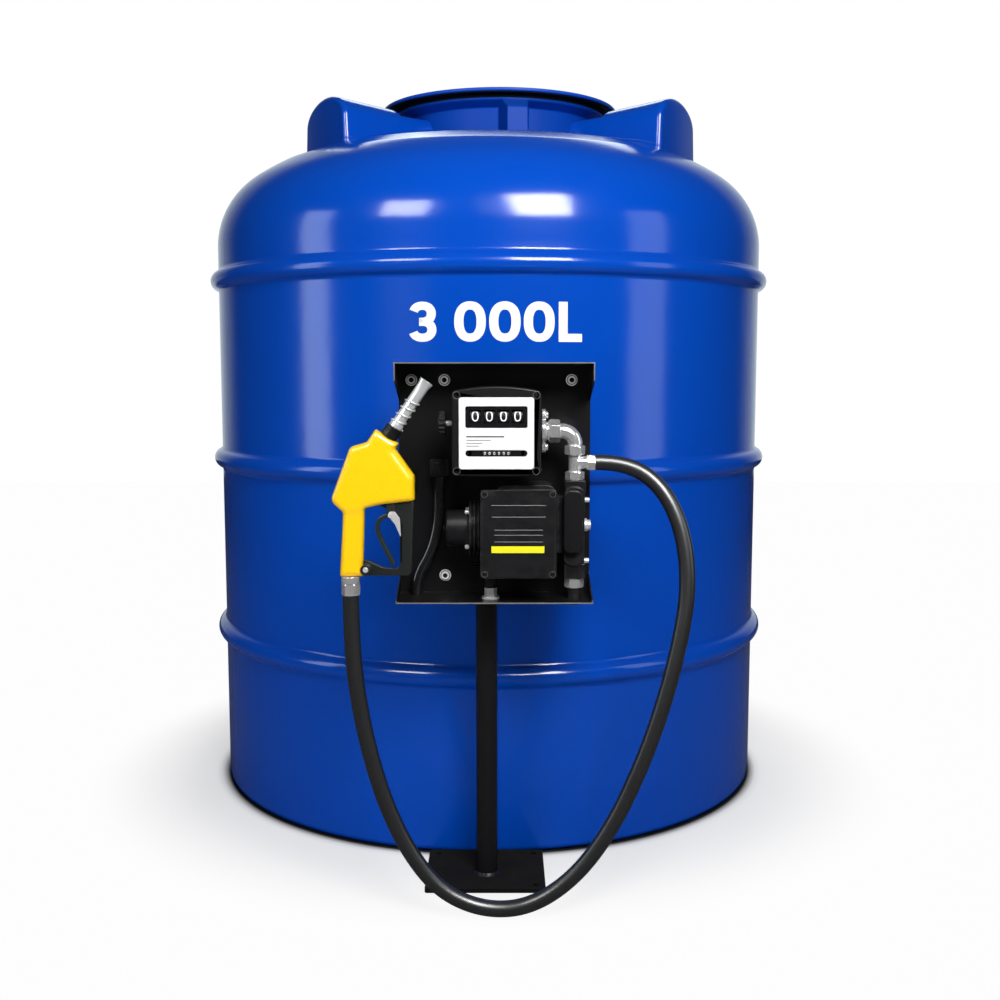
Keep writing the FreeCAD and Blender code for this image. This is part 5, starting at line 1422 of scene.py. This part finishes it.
class TANK_OT_nozzle(Operator):
    """Builds the nozzle's moulded cover, its guard and its swivel"""

    bl_idname = "tank_set.nozzle"
    bl_label = "Nozzle cover"

    def execute(self, context):
        facts = context.scene.tank_nozzle

        def half_at(x, z):
            share = np.clip((z - GRIP_TOP + GRIP_FADE) / (2 * GRIP_FADE), 0.0, 1.0)
            share = share * share * (3 - 2 * share)
            along_ridge = (RIDGE_LOW - RIDGE_TOP).normalized()
            past_top = -(x - RIDGE_TOP.x) * along_ridge.y + (z - RIDGE_TOP.y) * along_ridge.x
            past = np.maximum(np.maximum(past_top, x - RIDGE_LOW.x), 0.0)
            past *= (np.clip((FALL_TOP - z) / FALL_FADE, 0.0, 1.0)
                     * np.clip((x - FALL_LEFT) / FALL_FADE, 0.0, 1.0))
            return facts.handle_half + (facts.half_depth - facts.handle_half) * share - RIDGE_FALL * past

        outline = rounded_outline(COVER_CORNERS, OUTLINE_GAP)
        bm = cushion_mesh(outline, facts.plane, half_at, facts.edge, COVER_SPACING)
        piece(bm, "nozzle_cover", "yellow_paint", 50.0, ("nozzle_body",))
        rounded_copy("trigger_guard", 0.0014, 3)
        rounded_copy("nozzle_pins", 0.0005)
        rounded_copy("hose_swivel", 0.0006)
        return {"FINISHED"}


class TANK_OT_trigger(Operator):
    """Finishes the trigger lever and its latch"""

    bl_idname = "tank_set.trigger"
    bl_label = "Trigger"

    def execute(self, context):
        rounded_copy("trigger_lever", 0.0014, 3)
        rounded_copy("trigger_latch", 0.0005)
        return {"FINISHED"}


SPOUT_LEAN = math.radians(35.0)
SPOUT_X, SPOUT_Z = -0.190, 1.020
# The spout in section from its root: radius over the tube's, and distance along it
SPOUT_PROFILE = (
    (0.0016, 0.002), (0.0020, 0.004), (0.0020, 0.026), (0.0004, 0.029), (0.0, 0.032), (0.0, 0.100),
    (0.0004, 0.118), (0.0026, 0.1268), (0.0030, 0.1280), (0.0022, 0.1288), (-0.0006, 0.1280), (-0.0014, 0.1240),
    (-0.0018, 0.0600),
)
# The collar's radius, its ribs' depth and pitch, and where its foot, its first rib, its last groove's end and its
# face lie along the spout
COLLAR_RADIUS = 0.018
COLLAR_GROOVE = 0.0012
COLLAR_PITCH = 0.0035
COLLAR_ENDS = (-0.008, 0.001, 0.0158, 0.0160)
# The spring: where it starts along the spout, the rise of a turn, how much of a turn it lacks, its first coils'
# spread and how soon that ends, and its clearance from the spout
SPRING_START = 0.0178
SPRING_PITCH = 0.0176
SPRING_SHORT = 0.4
SPRING_SPREAD = 0.0021
SPRING_TAPER = 0.012
SPRING_SLACK = 0.0006
SPRING_STEPS = 24


def along(start, direction):
    """A placement whose Z axis runs from a start point in a direction."""
    turn = Vector((0, 0, 1)).rotation_difference(Vector(direction).normalized())
    return Matrix.Translation(Vector(start)) @ turn.to_matrix().to_4x4()


def collar_profile():
    """The ribbed collar in section."""
    groove = COLLAR_RADIUS - COLLAR_GROOVE
    start, ribs, end, face = COLLAR_ENDS
    profile = [(0.0, start), (COLLAR_RADIUS, start), (COLLAR_RADIUS, ribs)]
    for k in range(4):
        z = 0.002 + k * COLLAR_PITCH
        profile += [(COLLAR_RADIUS, z), (COLLAR_RADIUS, z + 0.0018), (groove, z + 0.0022), (groove, z + 0.0031)]
    return profile + [(groove, end), (COLLAR_RADIUS - 0.0025, face), (0.0, face)]


def spring_route(facts):
    """Points of the spring round the spout's axis."""
    total = SPRING_STEPS * facts.coils
    points = []
    for k in range(total + 1):
        a = 2 * math.pi * k / SPRING_STEPS
        rise = SPRING_START + SPRING_PITCH * (facts.coils - SPRING_SHORT) * k / total
        spread = SPRING_SPREAD * max(0.0, 1 - (rise - SPRING_START) / SPRING_TAPER)
        grow = facts.spout_radius + facts.wire_radius + spread + SPRING_SLACK
        points.append(Vector((grow * math.cos(a), grow * math.sin(a), rise)))
    return points


class TANK_OT_spout(Operator):
    """Builds the spout, its ribbed collar and its spring"""

    bl_idname = "tank_set.spout"
    bl_label = "Spout"

    def execute(self, context):
        facts = context.scene.tank_nozzle
        place = along((SPOUT_X, facts.plane, SPOUT_Z), (math.sin(SPOUT_LEAN), 0, math.cos(SPOUT_LEAN)))
        section = [(facts.spout_radius + over, z) for over, z in SPOUT_PROFILE]
        bm = bmesh.new()
        lathe(bm, [(0.0, section[0][1])] + section + [(0.0, section[-1][1])], 64, place)
        piece(bm, "spout_tube", "spout_metal", 50.0, ("nozzle_spout",))
        bm = bmesh.new()
        lathe(bm, collar_profile(), 72, place)
        piece(bm, "collar_sleeve", "black_plastic", 30.0, ("spout_collar",))
        route = [tuple(place @ p) for p in spring_route(facts)]
        spring = spline_tube("spout_coils", route, facts.wire_radius)
        spring.data.splines[0].resolution_u = 2
        spring.data.bevel_resolution = 3
        settle(spring, "zinc_steel", nodes=("spout_spring",))
        return {"FINISHED"}


# Panel in the sidebar, and the whole part in order

OPERATORS = (
    TANK_OT_finishes, TANK_OT_stage, TANK_OT_hose, TANK_OT_cable, TANK_OT_shell, TANK_OT_humps,
    TANK_OT_manhole, TANK_OT_lettering, TANK_OT_pedestal, TANK_OT_panel, TANK_OT_meter, TANK_OT_pump,
    TANK_OT_pipework, TANK_OT_nozzle, TANK_OT_trigger, TANK_OT_spout,
)
SETTINGS = {
    "tank_sizes": TankSettings, "tank_nozzle": NozzleSettings, "tank_hose": HoseSettings,
    "tank_finishes": FinishSettings, "tank_stage": StageSettings,
}


class TANK_PT_sidebar(Panel):
    """Lists the steps that dress the tank"""

    bl_idname = "TANK_PT_sidebar"
    bl_label = "Fuel tank"
    bl_space_type = "VIEW_3D"
    bl_region_type = "UI"
    bl_category = "Fuel tank"

    def draw(self, context):
        for operator in OPERATORS:
            self.layout.operator(operator.bl_idname)


def register():
    for name, group in SETTINGS.items():
        bpy.utils.register_class(group)
        setattr(bpy.types.Scene, name, PointerProperty(type=group))
    for operator in OPERATORS:
        bpy.utils.register_class(operator)
    bpy.utils.register_class(TANK_PT_sidebar)


def unregister():
    bpy.utils.unregister_class(TANK_PT_sidebar)
    for operator in reversed(OPERATORS):
        bpy.utils.unregister_class(operator)
    for name, group in SETTINGS.items():
        delattr(bpy.types.Scene, name)
        bpy.utils.unregister_class(group)


def main():
    register()
    for operator in OPERATORS:
        group, name = operator.bl_idname.split(".")
        getattr(getattr(bpy.ops, group), name)()


if __name__ == "__main__":
    main()
